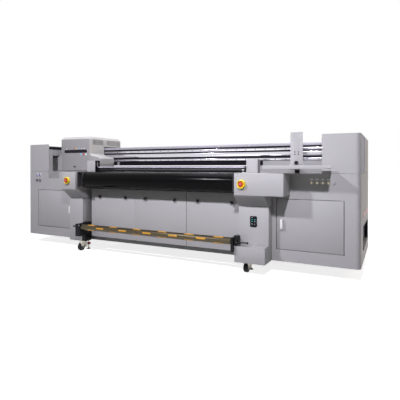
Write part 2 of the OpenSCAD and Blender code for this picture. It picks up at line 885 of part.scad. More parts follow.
// Chrome bar with end plates and the tongues that slide in the blocks
module pressure_bar() {
  plate_t = 16;
  color("#D5D5DA") from_front() difference() {
    union() {
      translate([0, press_y, press_bar_z]) bar_x(press_x[0], press_x[1], press_bar_r);
      for (x = press_plates(plate_t))
        span([x, press_y - 18, bed_z + 6], [x + plate_t, press_y + 18, press_bar_z + 18]);
      press_tongue([block_left[1] - slot_depth + 2, press_x[0] + 1]);
      press_tongue([press_x[1] - 1, block_right[0] + slot_depth - 2]);
    }
    translate([0, press_y, press_z]) bar_x(press_x[0] - 1, press_x[1] + 1, 8 + fit);
  }
}

function press_plates(t) = [press_x[0], press_x[1] - t];

module press_tongue(x) {
  span([x[0], press_y - slot_w / 2 + slide_gap, press_bar_z - 15],
    [x[1], press_y + slot_w / 2 - slide_gap, press_bar_z + 15]);
}

// Rubber roller that holds the media on the belt
module pressure_roller() {
  color("#2A2A2D") translate([0, face_y + press_y, press_z]) {
    bar_x(belt_left + 10, belt_right - 3, press_r);
    bar_x(press_x[0] + 2, press_x[1] - 2, 8);
  }
}

// Plate on the linear rails with four bearing blocks and two upright guides
module carriage_slider() {
  plate_y = [wrap_y + 6, wrap_y + 26];
  color("#8A8A90") from_front() translate([carriage_x, 0, 0]) {
    span([-230, plate_y[0], rail_z[0] - 18], [230, plate_y[1], rail_z[1] + 20]);
    for (x = [-160, 160], z = rail_z)
      span([x - 60, plate_y[1], z - 18], [x + 60, beam_y - rail_t - 0.3, z + 18]);
    for (x = [-120, 120]) span([x - 16, wrap_y + 0.6, rail_z[0] - 18], [x + 16, plate_y[0], rail_z[1] + 20]);
  }
}

// Hollow carriage body with an outline in Y and Z, bevelled along its side edges, open below
module carriage_body(points, y, low) {
  half = carriage_w / 2;
  bevel_z = carriage_top - chamfer;
  difference() {
    intersection() {
      profile_x([-half - 1, half + 1], points);
      profile_y([y[0] - 1, y[1] + 1], [[-half, low - 1], [half, low - 1], [half, bevel_z],
        [half - chamfer, carriage_top], [chamfer - half, carriage_top], [-half, bevel_z]]);
    }
    span([cover_wall - half, y[0] + cover_wall, low - 2],
      [half - cover_wall, y[1] - cover_wall, bevel_z - cover_wall]);
  }
}

// Cover: front body, the part that reaches over the beam, and the cheeks between them
module carriage_cover() {
  front = [carriage_y, wrap_y];
  back = [wrap_y + slide_gap, overhang_y];
  top = carriage_top;
  half = carriage_w / 2;
  color("#A6A5AB") from_front() translate([carriage_x, 0, 0]) {
    carriage_body([[front[0], skirt_low], [front[1], skirt_low], [front[1], top], [front[0] + chamfer, top],
      [front[0], top - chamfer]], front, skirt_low);
    carriage_body([[back[0], notch_top], [back[1], notch_top], [back[1], top - chamfer],
      [back[1] - chamfer, top], [back[0], top]], back, notch_top);
    for (s = [0, 1]) mirror([s, 0, 0])
      span([half - cover_wall, back[0], skirt_low], [half, cheek_y, notch_top - slide_gap]);
  }
}

// Hollow curing lamp housings on both sides of the carriage, with sloped shoulders
module lamp_housings() {
  color("#98979D") from_front() translate([carriage_x, 0, 0]) {
    lamp_housing(lamp_right_w);
    mirror([1, 0, 0]) lamp_housing(lamp_left_w);
  }
}

module lamp_housing(w) {
  x = [carriage_w / 2 + seam, carriage_w / 2 + w];
  fillet = 35;
  rim = 20;
  edge = lamp_top - lamp_slope * (w - fillet - rim);
  inner = [x[0] + cover_wall, x[1] - cover_wall];
  difference() {
    profile_y([carriage_y, cheek_y], [[x[0], skirt_low], [x[1], skirt_low], [x[1], edge - rim],
      [x[1] - rim, edge], [x[0] + fillet, lamp_top], [x[0], lamp_root]]);
    profile_y([carriage_y + cover_wall, cheek_y - cover_wall], [[inner[0], skirt_low - 1],
      [inner[1], skirt_low - 1], [inner[1], edge - rim - cover_wall], [inner[0], lamp_top - 2 * cover_wall]]);
  }
}

// Head plate with two staggered rows of print heads
module print_heads() {
  color("#55555B") from_front() translate([carriage_x, carriage_y + 52, head_low]) {
    span([-250, 0, 4], [250, 190, 12]);
    for (i = [0:3], row = [0, 1])
      span([-220 + i * 110 + row * 50, 10 + row * 90, 0], [-175 + i * 110 + row * 50, 90 + row * 90, 90]);
  }
}

// Door skin with bores for its two pins, hinged at its low X edge
module door() {
  difference() {
    span([0, 0, door_low], [door_w, door_t, door_high]);
    span([30, sheet_t, door_low + 30], [door_w - 30, door_t + 1, door_high - 30]);
    for (z = [door_low - 1, door_high - pin_l - 1])
      translate([hinge_in, hinge_y, z]) cylinder(h = pin_l + 2, r = pin_r + fit);
  }
}

module left_door() {
  color("#B2B1B9") translate([left_door_x, face_y, 0]) door();
}

module right_door() {
  color("#B2B1B9") translate([right_door_x, face_y, 0]) mirror([1, 0, 0]) door();
}

// Upright pull handle with rounded ends
module pull_handle() {
  half = handle_h / 2;
  translate([0, 0, handle_z]) {
    span([-handle_w / 2, -handle_reach, -half], [handle_w / 2, handle_t - handle_reach, half]);
    for (s = [-1, 1]) translate([0, 0, s * (half - handle_t / 2)])
      span([-handle_w / 2, handle_t - handle_reach, -handle_t / 2], [handle_w / 2, 0, handle_t / 2]);
  }
}

module left_door_handle() {
  color("#F0F0EE") translate([left_door_x + door_w - handle_in[0], face_y, 0]) pull_handle();
}

module right_door_handle() {
  color("#F0F0EE") translate([right_door_x - door_w + handle_in[1], face_y, 0]) pull_handle();
}

// Mushroom head on its stem
module estop(x) {
  color("#C8281E") translate([x, face_y - arm_reach, estop_z]) {
    bar_y(-22, -7, stem_r);
    bar_y(-estop_reach, -22, estop_r);
  }
}

module estop_left() {
  estop(estop_x[0]);
}

module estop_right() {
  estop(estop_x[1]);
}

// Round push button, counted from the left
module push_button(i) {
  color(i < 5 ? "#E4DFC8" : "#A7A7AA") translate([button_x + (i - 1) * button_pitch, face_y, button_z])
    bar_y(-9, 14, button_r);
}

module push_button_1() {
  push_button(1);
}

module push_button_2() {
  push_button(2);
}

module push_button_3() {
  push_button(3);
}

module push_button_4() {
  push_button(4);
}

module push_button_5() {
  push_button(5);
}

// Regulator knob with a stem through the front sheet
module regulator_knob(i) {
  color("#6B6A72") translate([knob_x[i - 1], face_y, regulator_z]) {
    bar_y(-28, -0.6, regulator_r);
    bar_y(-1, 14, 5);
  }
}

module regulator_knob_1() {
  regulator_knob(1);
}

module regulator_knob_2() {
  regulator_knob(2);
}

// Upright plate with the square of monitor holes, turning on pins in the tray's ears
module monitor_plate() {
  t = 5;
  hole_z = plate_top - 25 - vesa / 2;
  color("#C9C8CE") from_front() translate([plate_x, 0, 0]) difference() {
    union() {
      span([-plate_w / 2, plate_y - t, tilt_z + 6], [plate_w / 2, plate_y, plate_top]);
      span([-plate_w / 2 + 14, plate_y, tilt_z - 6], [plate_w / 2 - 14, tilt_y, tilt_z + 60]);
      translate([0, tilt_y, tilt_z]) bar_x(-plate_w / 2 + 2, plate_w / 2 - 2, 10);
      translate([0, tilt_y, tilt_z]) bar_x(-plate_w / 2 - 13, plate_w / 2 + 13, 6);
    }
    for (x = [-vesa / 2, vesa / 2], z = [-vesa / 2, vesa / 2])
      translate([x, plate_y, hole_z + z]) bar_y(-t - 1, 1, vesa_hole_r);
    translate([0, plate_y, clamp_z]) bar_y(-t - 1, 6, 4 + fit);
  }
}

// Clamp knob on the front of the monitor plate
module tilt_knob() {
  color("#1B1B1E") translate([plate_x, face_y + plate_y - 5, clamp_z]) {
    bar_y(-22, -1, tilt_knob_r);
    bar_y(-1, 9, 4);
  }
}

base_frame();
left_cabinet();
right_cabinet();
left_tower();
right_tower();
lower_panels();
panel_knobs();
front_stands();
rear_stands();
conveyor_side_plates();
vacuum_table();
conveyor_belt();
gantry_beam();
linear_rails();
estop_guards();
display_panel();
tray_post();
tray();
pressure_blocks();
shaft_brackets();
takeup_motor();
levelling_feet();
ink_bottles();
electrics_panel();
door_pivot_pins();
capping_station();
rear_caster_forks();
front_roller();
rear_roller();
takeup_shaft();
takeup_lugs();
takeup_lever();
unwind_shaft();
pressure_bar();
pressure_roller();
carriage_slider();
carriage_cover();
lamp_housings();
print_heads();
left_door();
right_door();
left_door_handle();
right_door_handle();
estop_left();
estop_right();
push_button_1();
push_button_2();
push_button_3();
push_button_4();
push_button_5();
regulator_knob_1();
regulator_knob_2();
monitor_plate();
tilt_knob();
left_caster_fork();
right_caster_fork();
front_left_wheel();
front_right_wheel();
rear_left_wheel();
rear_right_wheel();
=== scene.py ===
"""Looks of a wide hybrid flatbed and roll UV printer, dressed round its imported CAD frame."""
import json
import math

import bmesh
import bpy
from bpy.props import FloatProperty, FloatVectorProperty, PointerProperty
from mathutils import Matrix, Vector


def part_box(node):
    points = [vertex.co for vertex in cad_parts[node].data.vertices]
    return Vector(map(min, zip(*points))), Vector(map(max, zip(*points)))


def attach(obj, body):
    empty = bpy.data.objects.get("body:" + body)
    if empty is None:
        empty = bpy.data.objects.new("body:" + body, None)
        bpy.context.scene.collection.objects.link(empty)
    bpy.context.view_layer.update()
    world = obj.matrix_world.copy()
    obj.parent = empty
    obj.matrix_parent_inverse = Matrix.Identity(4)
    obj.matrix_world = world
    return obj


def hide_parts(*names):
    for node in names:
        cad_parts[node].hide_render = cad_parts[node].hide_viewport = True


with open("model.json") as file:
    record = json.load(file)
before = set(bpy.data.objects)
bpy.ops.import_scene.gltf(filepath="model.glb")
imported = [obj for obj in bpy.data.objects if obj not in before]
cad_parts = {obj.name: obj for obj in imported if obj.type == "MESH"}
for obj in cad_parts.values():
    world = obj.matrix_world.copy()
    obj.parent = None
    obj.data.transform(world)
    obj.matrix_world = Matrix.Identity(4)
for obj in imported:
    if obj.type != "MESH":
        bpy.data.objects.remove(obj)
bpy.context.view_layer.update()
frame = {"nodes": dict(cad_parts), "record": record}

bl_info = {
    "name": "Hybrid UV Printer",
    "version": (1, 0, 0),
    "blender": (4, 5, 0),
    "location": "View3D > Sidebar > Printer",
    "description": "Dresses the CAD frame of a hybrid flatbed and roll UV printer",
    "category": "Object",
}

BODY = {n: b for b, members in frame["record"]["behaviour"]["bodies"].items() for n in members}
SLOT = {s["node"]: s["material_slot"] for s in frame["record"]["subparts"]}
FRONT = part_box("left_tower")[0][1]
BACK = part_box("left_tower")[1][1]
RAIL_FACE = FRONT + 0.415
AXES = {"x": (0, math.radians(90), 0), "y": (math.radians(-90), 0, 0), "z": (0, 0, 0)}
FACING = 0.9  # cosine past which a face counts as turned to an axis
SMOOTH = math.radians(30)  # flatter edges are shaded smooth
FLAT = math.radians(0.2)  # flatter edges are dissolved
SINK = 0.001  # how far trim sinks into the sheet behind it
MM = 1000  # millimetres in a metre
MIX_A, MIX_B, MIXED = 6, 7, 2  # colour sockets of the Mix node
NOISE = (0.3, 0.7)  # where most values of a noise texture lie
BUMP = 0.6  # strength of every bump
SHADE_LOW, SHADE_HIGH, SHADE_TONE = 0.1, 0.7, 0.72  # heights between which the painted shade near the floor fades out, and its tone


def rgb(code):
    """Linear colour of an sRGB hex value."""
    parts = [int(code[i:i + 2], 16) / 255 for i in (0, 2, 4)]
    return tuple(c / 12.92 if c <= 0.04045 else ((c + 0.055) / 1.055) ** 2.4 for c in parts)


def colour(label, about, code):
    """Colour setting that a user may change."""
    return FloatVectorProperty(
        name=label, description=about, subtype="COLOR", size=3, min=0.0, max=1.0, default=rgb(code))


def length(label, about, default):
    """Size setting in metres that a user may change."""
    return FloatProperty(name=label, description=about, unit="LENGTH", min=0.0, default=default)


class PrinterColours(bpy.types.PropertyGroup):
    """Colours of the painted, moulded and coated parts."""

    cabinet: colour("Cabinet paint", "Powder coat of cabinets, towers and stands", "BCBBBB")
    carriage_front: colour("Carriage front", "Darker plate on the front of the carriage", "A09F9F")
    # painted light: the sides and top are a second, paler coat, made paler still to stand in for light from
    # the right and from above
    carriage_body: colour("Carriage body", "Paint of the carriage's sides and top", "D4D3CE")
    belt: colour("Belt", "Coating of the conveyor belt", "0A0A0B")
    guard: colour("Guard", "Collars round the emergency stops", "FFE324")
    signal: colour("Signal red", "Emergency stop heads", "E23A24")
    lugs: colour("Lugs", "Inflating lugs of the roll shafts", "DDA02A")


class PrinterSizes(bpy.types.PropertyGroup):
    """Sizes of the finish that the CAD frame leaves open."""

    vent_pitch: length("Vent pitch", "Distance between the vent bars of the carriage", 0.024)
    # painted shade: the panel seal is a dark strip standing in for the shade in the gap between two panels
    seal_width: length("Panel seal", "Width of the seal between the lower panels", 0.004)
    trim: length("Trim", "How far thin trim stands proud of its sheet", 0.002)
    lamp_size: length("Lamp size", "Width of the two front lamps", 0.3)


def only(*chosen):
    """Leaves object mode with these objects alone selected."""
    active = bpy.context.view_layer.objects.active
    if active and active.mode != "OBJECT":
        bpy.ops.object.mode_set(mode="OBJECT")
    bpy.ops.object.select_all(action="DESELECT")
    for item in chosen:
        item.select_set(True)
    bpy.context.view_layer.objects.active = chosen[0] if chosen else None


def settle(name):
    """Puts the new primitive's place, turn and scale into its mesh."""
    piece = bpy.context.object
    piece.name = piece.data.name = name
    bpy.ops.object.transform_apply(location=True, rotation=True, scale=True)
    return piece


def middle(node):
    """Middle of a CAD node's box."""
    return [(a + b) / 2 for a, b in zip(*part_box(node))]


def block(name, low, high):
    """Box between two corners."""
    only()
    size = [b - a for a, b in zip(low, high)]
    centre = [(a + b) / 2 for a, b in zip(low, high)]
    bpy.ops.mesh.primitive_cube_add(size=1, location=centre, scale=size)
    return settle(name)


def pick(piece, test, kind="faces"):
    """Enters edit mode with the faces or edges selected whose middle and normal pass the test."""
    only(piece)
    bpy.ops.object.mode_set(mode="EDIT")
    bpy.ops.mesh.select_mode(type="FACE" if kind == "faces" else "EDGE")
    bpy.ops.mesh.select_all(action="DESELECT")
    mesh = bmesh.from_edit_mesh(piece.data)
    for part in getattr(mesh, kind):
        if kind == "faces":
            chosen = test(part.calc_center_median(), part.normal)
        else:
            ends = [v.co for v in part.verts]
            chosen = test((ends[0] + ends[1]) / 2, ends[1] - ends[0])
        part.select_set(bool(chosen))
    mesh.select_flush_mode()
    bmesh.update_edit_mesh(piece.data)


def frontal(c, n):
    """Test for faces that look to the front."""
    return n.y < -FACING


def done():
    """Back to object mode."""
    bpy.ops.object.mode_set(mode="OBJECT")


def recess(piece, test, rim, depth, apart=False):
    """Insets the chosen faces by a rim and sinks them; a negative depth raises them."""
    pick(piece, test)
    bpy.ops.mesh.inset(thickness=rim, depth=0, use_individual=apart)
    bpy.ops.mesh.inset(thickness=0, depth=-depth, use_individual=apart)
    done()
    return piece


def turned(name, axis, at, rings, sides=32):
    """Turned piece: a filled circle drawn out through rings of (height, radius) along an axis."""
    only()
    bpy.ops.mesh.primitive_circle_add(vertices=sides, radius=rings[0][1], fill_type="NGON")
    bpy.ops.object.mode_set(mode="EDIT")
    bpy.ops.transform.translate(value=(0, 0, rings[0][0]))
    for (z0, r0), (z1, r1) in zip(rings, rings[1:]):
        bpy.ops.mesh.extrude_region_move(TRANSFORM_OT_translate={"value": (0, 0, z1 - z0)})
        bpy.ops.transform.resize(value=(r1 / r0, r1 / r0, 1), center_override=(0, 0, z1))
    bpy.ops.mesh.select_all(action="SELECT")
    bpy.ops.mesh.normals_make_consistent(inside=False)
    done()
    bpy.context.object.rotation_euler = AXES[axis]
    bpy.context.object.location = at
    return settle(name)


def merge(name, pieces):
    """Joins pieces into one."""
    only(*pieces)
    if len(pieces) > 1:
        bpy.ops.object.join()
    piece = bpy.context.object
    piece.name = piece.data.name = name
    return piece


def copies(piece, moves):
    """The piece and copies of it, each with its own mesh, moved by the given steps."""
    made = [piece]
    for step in moves:
        only(piece)
        bpy.ops.object.duplicate(linked=False)
        bpy.context.object.location = step
        made.append(settle(piece.name))
    return made


def soften(piece, width, segments=2, limit=35):
    """Rounds the sharp edges and smooths the shading."""
    only(piece)
    rounding = piece.modifiers.new("rounding", "BEVEL")
    rounding.width = width
    rounding.segments = segments
    rounding.limit_method = "ANGLE"
    rounding.angle_limit = math.radians(limit)
    bpy.ops.object.modifier_apply(modifier=rounding.name)
    bpy.ops.object.shade_smooth_by_angle(angle=SMOOTH)
    return piece


def seat(piece, body, slot, finish, *nodes):
    """Gives a piece its finish, its body and the CAD nodes that it stands for; the slot argument is not used.
    """
    only(piece)
    bpy.ops.object.shade_smooth_by_angle(angle=SMOOTH)
    piece.data.materials.clear()
    piece.data.materials.append(FINISH[finish])
    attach(piece, body)
    if nodes:
        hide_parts(*nodes)
    return piece


def on_cabinet(piece, finish):
    """Seats a fitting on the machine's painted body."""
    return seat(piece, "machine", "cabinet_paint", finish)


def on_carriage(piece, finish):
    """Seats a fitting on the carriage."""
    return seat(piece, "carriage", "carriage_paint", finish)


def dressed(node, finish, width=0.002, weld=1e-6):
    """Merged copy of a CAD node with rounded edges, which stands for it; a wide weld closes its seams."""
    source = frame["nodes"][node]
    only()
    piece = bpy.data.objects.new(node + "_skin", source.data.copy())
    piece.data.name = piece.name
    bpy.context.scene.collection.objects.link(piece)
    only(piece)
    bpy.ops.mesh.customdata_custom_splitnormals_clear()
    bpy.ops.object.mode_set(mode="EDIT")
    bpy.ops.mesh.select_all(action="SELECT")
    bpy.ops.mesh.remove_doubles(threshold=weld)
    bpy.ops.mesh.dissolve_limited(angle_limit=FLAT)
    done()
    if width:
        soften(piece, width)
    return seat(piece, BODY[node], SLOT[node], finish, node)


def add(tree, kind, inputs=None, **settings):
    """Adds a shader node; inputs maps a socket's name or number to a value or to an output."""
    made = tree.nodes.new(kind)
    for key, value in settings.items():
        setattr(made, key, value)
    for key, value in (inputs or {}).items():
        if isinstance(value, bpy.types.NodeSocket):
            tree.links.new(value, made.inputs[key])
        else:
            made.inputs[key].default_value = value
    return made


def tone(base, factor):
    """A lighter or darker tone of a linear colour."""
    return tuple(min(1.0, c * factor) for c in base[:3]) + (1.0,)


def surface(name, base, grain_mm, rough, bump_mm, spread, stretch=(1, 1, 1), cloud_mm=300.0, weave_mm=0.0,
            dust=0.0, **constants):
    """Material whose shade drifts in clouds, and whose grain or weave breaks up gloss and surface."""
    material = bpy.data.materials.new(name)
    material.use_nodes = True
    tree = material.node_tree
    shader = tree.nodes["Principled BSDF"]
    place = add(tree, "ShaderNodeTexCoord").outputs["Object"]
    cloud = add(tree, "ShaderNodeTexNoise", {"Vector": place, "Scale": MM / cloud_mm, "Detail": 3.0})
    scale = [MM * s / grain_mm for s in stretch]
    scaled = add(tree, "ShaderNodeMapping", {"Vector": place, "Scale": scale}).outputs[0]
    grain = add(tree, "ShaderNodeTexNoise", {"Vector": scaled, "Scale": 1.0, "Detail": 2.0}).outputs["Fac"]
    tones = {MIX_A: tone(base, 1 - spread), MIX_B: tone(base, 1 + spread)}
    shade = add(tree, "ShaderNodeMix", {0: cloud.outputs["Fac"], **tones}, data_type="RGBA").outputs[MIXED]
    height = grain
    if weave_mm:
        weave = {"Vector": place, "Scale": MM / weave_mm / math.tau, "Distortion": 0.3}
        bands = [add(tree, "ShaderNodeTexWave", weave, bands_direction=way).outputs["Fac"] for way in "XY"]
        height = add(tree, "ShaderNodeMath", {0: bands[0], 1: bands[1]}, operation="MULTIPLY").outputs[0]
    # painted shade: the colour darkens towards the floor
    if dust:
        level = add(tree, "ShaderNodeSeparateXYZ", {0: place}).outputs[2]
        fade = add(tree, "ShaderNodeMapRange", {
            "Value": level, "From Min": SHADE_LOW, "From Max": SHADE_HIGH, "To Min": dust, "To Max": 0.0}).outputs[0]
        shaded_low = {0: fade, MIX_A: shade, MIX_B: tone(base, SHADE_TONE)}
        shade = add(tree, "ShaderNodeMix", shaded_low, data_type="RGBA").outputs[MIXED]
    gloss = add(tree, "ShaderNodeMapRange", {
        "Value": grain, "From Min": NOISE[0], "From Max": NOISE[1], "To Min": rough[0], "To Max": rough[1]})
    bump = add(tree, "ShaderNodeBump", {"Strength": BUMP, "Distance": bump_mm / MM, "Height": height})
    tree.links.new(shade, shader.inputs["Base Color"])
    tree.links.new(gloss.outputs[0], shader.inputs["Roughness"])
    tree.links.new(bump.outputs[0], shader.inputs["Normal"])
    for key, value in constants.items():
        shader.inputs[SOCKETS[key]].default_value = value
    return material


ALONG, AROUND = (0.01, 1, 1), (1, 0.05, 0.05)  # grain drawn out along X, and round it
SOCKETS = {"metallic": "Metallic", "specular": "Specular IOR Level", "subsurface": "Subsurface Weight",
           "glow": "Emission Color", "glow_strength": "Emission Strength"}
FINISHES = (
    # key, name, colour or its setting, grain in mm, roughness from and to, bump in mm, spread of shade, more
    # Polyester powder coat on sheet steel: satin, darker low down as painted shade, its 2 mm orange peel
    # drawn at 5 mm
    ("paint", "powder coat light grey", "cabinet", 5, (0.42, 0.52), 0.05, 0.025,
     dict(dust=0.3, specular=0.25)),
    # Darker powder coat on the carriage's front plate, satin; also used as painted shade on the beam's skirt
    # and on the sides of the right pressure block
    ("front_paint", "powder coat mid grey", "carriage_front", 5, (0.4, 0.5), 0.05, 0.025,
     dict(specular=0.25)),
    # Pale powder coat on the carriage's folded sides, top and lamp housings, satin; part of its paleness is
    # painted light from the right and from above
    ("pale_lit_paint", "powder coat pale grey", "carriage_body", 5, (0.4, 0.5), 0.05, 0.025, dict(specular=0.25)),
    # The cabinet's coat on the lower panels, without the painted shade low down
    ("panel_paint", "powder coat panel grey", "cabinet", 5, (0.42, 0.52), 0.05, 0.025, dict(specular=0.25)),
    # Grey enamel sprayed on welded tube, matt with overspray; also painted shade on the plate behind the left
    # gate
    ("frame_paint", "enamel mid grey", "8A8A8B", 6, (0.5, 0.65), 0.08, 0.05, {}),
    # Black enamel on brackets and housings, semi gloss
    ("black_metal", "enamel black", "141416", 5, (0.32, 0.45), 0.05, 0.12, dict(specular=0.12)),
    # Graphite enamel on the plates beside the belt, matt
    ("graphite", "enamel graphite", "4A4A4C", 5, (0.45, 0.6), 0.05, 0.06, dict(specular=0.2)),
    # Black anodised slots and filler strips, matt; also painted shade at the beam's foot and along the tops
    # of the towers' inner walls
    ("slot_black", "anodised black", "1D1B23", 4, (0.45, 0.6), 0.02, 0.1, dict(specular=0.15)),
    # Polyurethane coated belt: satin black, its fabric shows through as a weave of 1 mm drawn at 6 mm
    ("belt", "polyurethane coated belt", "belt", 14, (0.13, 0.19), 0.01, 0.1,
     dict(weave_mm=6, specular=0.05)),
    # Rubber sleeve, ground: matt, with fine lines along it
    ("roller_rubber", "ground rubber", "161618", 3, (0.4, 0.55), 0.03, 0.1,
     dict(stretch=ALONG, specular=0.2)),
    # Milled aluminium plate: faint cutter lines along the bed
    ("table_aluminium", "milled aluminium", "A5A5AA", 4, (0.3, 0.45), 0.02, 0.05,
     dict(stretch=ALONG, metallic=1.0)),
    # Anodised extrusion: pale, with die lines along its length
    ("beam_aluminium", "anodised aluminium", "ACAAB3", 3, (0.4, 0.5), 0.02, 0.03,
     dict(stretch=ALONG, metallic=0.15)),
    # Ground and polished guide steel: near mirror, with fine lines along its length
    ("bright_steel", "ground steel", "D4D2DA", 2, (0.12, 0.18), 0.0, 0.02, dict(stretch=ALONG, metallic=1.0)),
    # Hard chrome on a drawn bar: bright, with fine lines along it
    ("chrome", "hard chrome", "918D99", 2, (0.2, 0.28), 0.0, 0.02, dict(stretch=ALONG, metallic=1.0)),
    # Hard anodised tube, bronze grey, with turning marks
    ("shaft_metal", "hard anodised tube", "4C4433", 3, (0.3, 0.38), 0.01, 0.06,
     dict(stretch=AROUND, metallic=0.75)),
    # Moulded polyurethane lugs, matt and scuffed by card cores
    ("lug_rubber", "moulded polyurethane", "lugs", 3, (0.45, 0.62), 0.06, 0.1, {}),
    # Moulded phenolic knobs, fine spark eroded grain
    ("black_plastic", "moulded phenolic black", "151517", 2, (0.38, 0.5), 0.04, 0.1, dict(specular=0.25)),
    # Moulded nylon, matt mid grey
    ("knob_grey", "moulded nylon grey", "85848D", 2, (0.42, 0.55), 0.04, 0.05, {}),
    # Moulded ABS, glossy
    ("guard_yellow", "moulded ABS yellow", "guard", 2, (0.25, 0.34), 0.02, 0.03, {}),
    ("strip_red", "moulded ABS dark red", "A2343C", 2, (0.3, 0.4), 0.02, 0.04, {}),
    ("signal_red", "moulded ABS red", "signal", 2, (0.22, 0.3), 0.02, 0.04, dict(specular=0.3)),
    ("dot_grey", "moulded ABS blue grey", "8E8A9A", 2, (0.3, 0.4), 0.02, 0.03, {}),
    # Nickel plated brass button caps and rings: bright, with a warm tint
    ("button_cream", "nickel plated brass", "A39B88", 2, (0.24, 0.32), 0.01, 0.03, dict(metallic=0.8)),
    # Moulded ABS caps, rings, labels and pull handles, satin
    ("button_grey", "moulded ABS grey", "A7A7AA", 2, (0.26, 0.34), 0.02, 0.03, {}),
    ("handle_white", "moulded ABS white", "F1F1EF", 2, (0.28, 0.36), 0.02, 0.02, {}),
    # Dark printed glass over the display, softly reflecting
    ("display", "back printed glass", "141720", 8, (0.2, 0.3), 0.0, 0.1, dict(specular=0.12)),
    # Yellow passivated zinc on pressed forks: pale and warm, faintly blotched
    ("zinc", "passivated zinc", "E6E1D2", 6, (0.25, 0.4), 0.03, 0.06, dict(cloud_mm=30, metallic=0.5)),
    # Tread rubber: matt, an uneven black
    ("tyre", "tread rubber", "19191B", 4, (0.55, 0.7), 0.08, 0.15, dict(specular=0.25)),
    # Red enamel on cast hand wheels, semi gloss
    ("foot_red", "enamel red", "B7332A", 4, (0.35, 0.48), 0.05, 0.08, {}),
    # Blow moulded polyethylene, translucent and waxy
    ("ink_blue", "blow moulded polyethylene", "3F6396", 4, (0.3, 0.42), 0.03, 0.15,
     dict(cloud_mm=90, subsurface=0.15)),
    # Glass filled nylon of heads and caps, matt dark grey
    ("head_dark", "glass filled nylon", "4B4B50", 2, (0.45, 0.6), 0.04, 0.08, {}),
    # Indicator lens, lit from behind
    ("lens_teal", "lit lens teal", "2FC2B4", 2, (0.15, 0.2), 0.0, 0.05,
     dict(glow=rgb("2FC2B4") + (1,), glow_strength=0.5)),
    # Printed vinyl squares and lenses, flat and even
    ("lens_sky", "printed vinyl sky", "8CC7EE", 3, (0.35, 0.45), 0.0, 0.03, {}),
    ("lens_pale", "printed vinyl pale", "DFE8F0", 3, (0.35, 0.45), 0.0, 0.03, {}),
    # Tinted gauge glass, polished
    ("gauge_blue", "gauge glass violet", "5A57A8", 3, (0.08, 0.12), 0.0, 0.1, {}),
)
FINISH = {}


class PRINTER_OT_finishes(bpy.types.Operator):
    """Makes the material of every finish on the machine."""

    bl_idname = "printer.finishes"
    bl_label = "Finishes"

    def execute(self, context):
        tints = context.scene.printer_colours
        for key, name, shade, grain_mm, rough, bump_mm, spread, more in FINISHES:
            base = getattr(tints, shade) if hasattr(tints, shade) else rgb(shade)
            FINISH[key] = surface(name, base, grain_mm, rough, bump_mm, spread, **more)
        return {"FINISHED"}


LAMPS = (
    # name, place, aim, width or 0 for the setting, spread in degrees, power in watts, colour
    ("lamp_right", (2.37, FRONT - 3.656, 3.73), (1.5, -0.6, 0.8), 0, 95, 42, "F6F4FF"),
    ("lamp_left", (-1.25, FRONT - 3.597, 3.73), (-0.3, -0.6, 0.7), 0, 180, 140, "F6F4FF"),
    ("lamp_fill", (0.2, FRONT - 4.5, 0.5), (0.0, -0.6, 0.6), 2.5, 180, 14, "FFFFFF"),
    ("lamp_side", (4.2, 1.6, 1.9), (2.25, 0.1, 1.0), 1.2, 180, 16, "FFE6CE"),
    ("lamp_over", (0.0, FRONT + 0.2, 3.9), (0.0, FRONT + 0.2, 1.0), 2.6, 180, 42, "F6F4FF"),
    ("lamp_back", (0.0, 4.6, 3.0), (0.0, 0.6, 0.7), 3.5, 180, 90, "FFFFFF"),
)
CAMERA_PLACE, CAMERA_TURN = (2.51, FRONT - 3.87, 1.103), 26.8  # metres, and degrees to the left
CAMERA_LENS, CAMERA_SENSOR, CAMERA_SHIFT = 34.2, 36, -0.0825  # millimetres, and a share of the frame
FLOOR_WIDTH = 60
FLOOR_SEEN, FLOOR_BOUNCE = rgb("E7E7E7") + (1,), rgb("595959") + (1,)  # colour to the eye and to the light
GLOW_FROM, GLOW_TO = (2.6, 0.8), (5.0, 1.0)  # metres from the middle, and the floor's glow there
WORLD_LIGHT = 0.115  # strength of the world on the object
WHITE = rgb("FFFFFF") + (1,)


def direct(tree):
    """1 for rays from the eye, off a glossy face or through glass, and 0 for the others."""
    rays = add(tree, "ShaderNodeLightPath").outputs
    sharp = {0: rays["Is Camera Ray"], 1: rays["Is Glossy Ray"]}
    near = add(tree, "ShaderNodeMath", sharp, operation="MAXIMUM").outputs[0]
    every = {0: near, 1: rays["Is Transmission Ray"]}
    return add(tree, "ShaderNodeMath", every, operation="MAXIMUM").outputs[0]


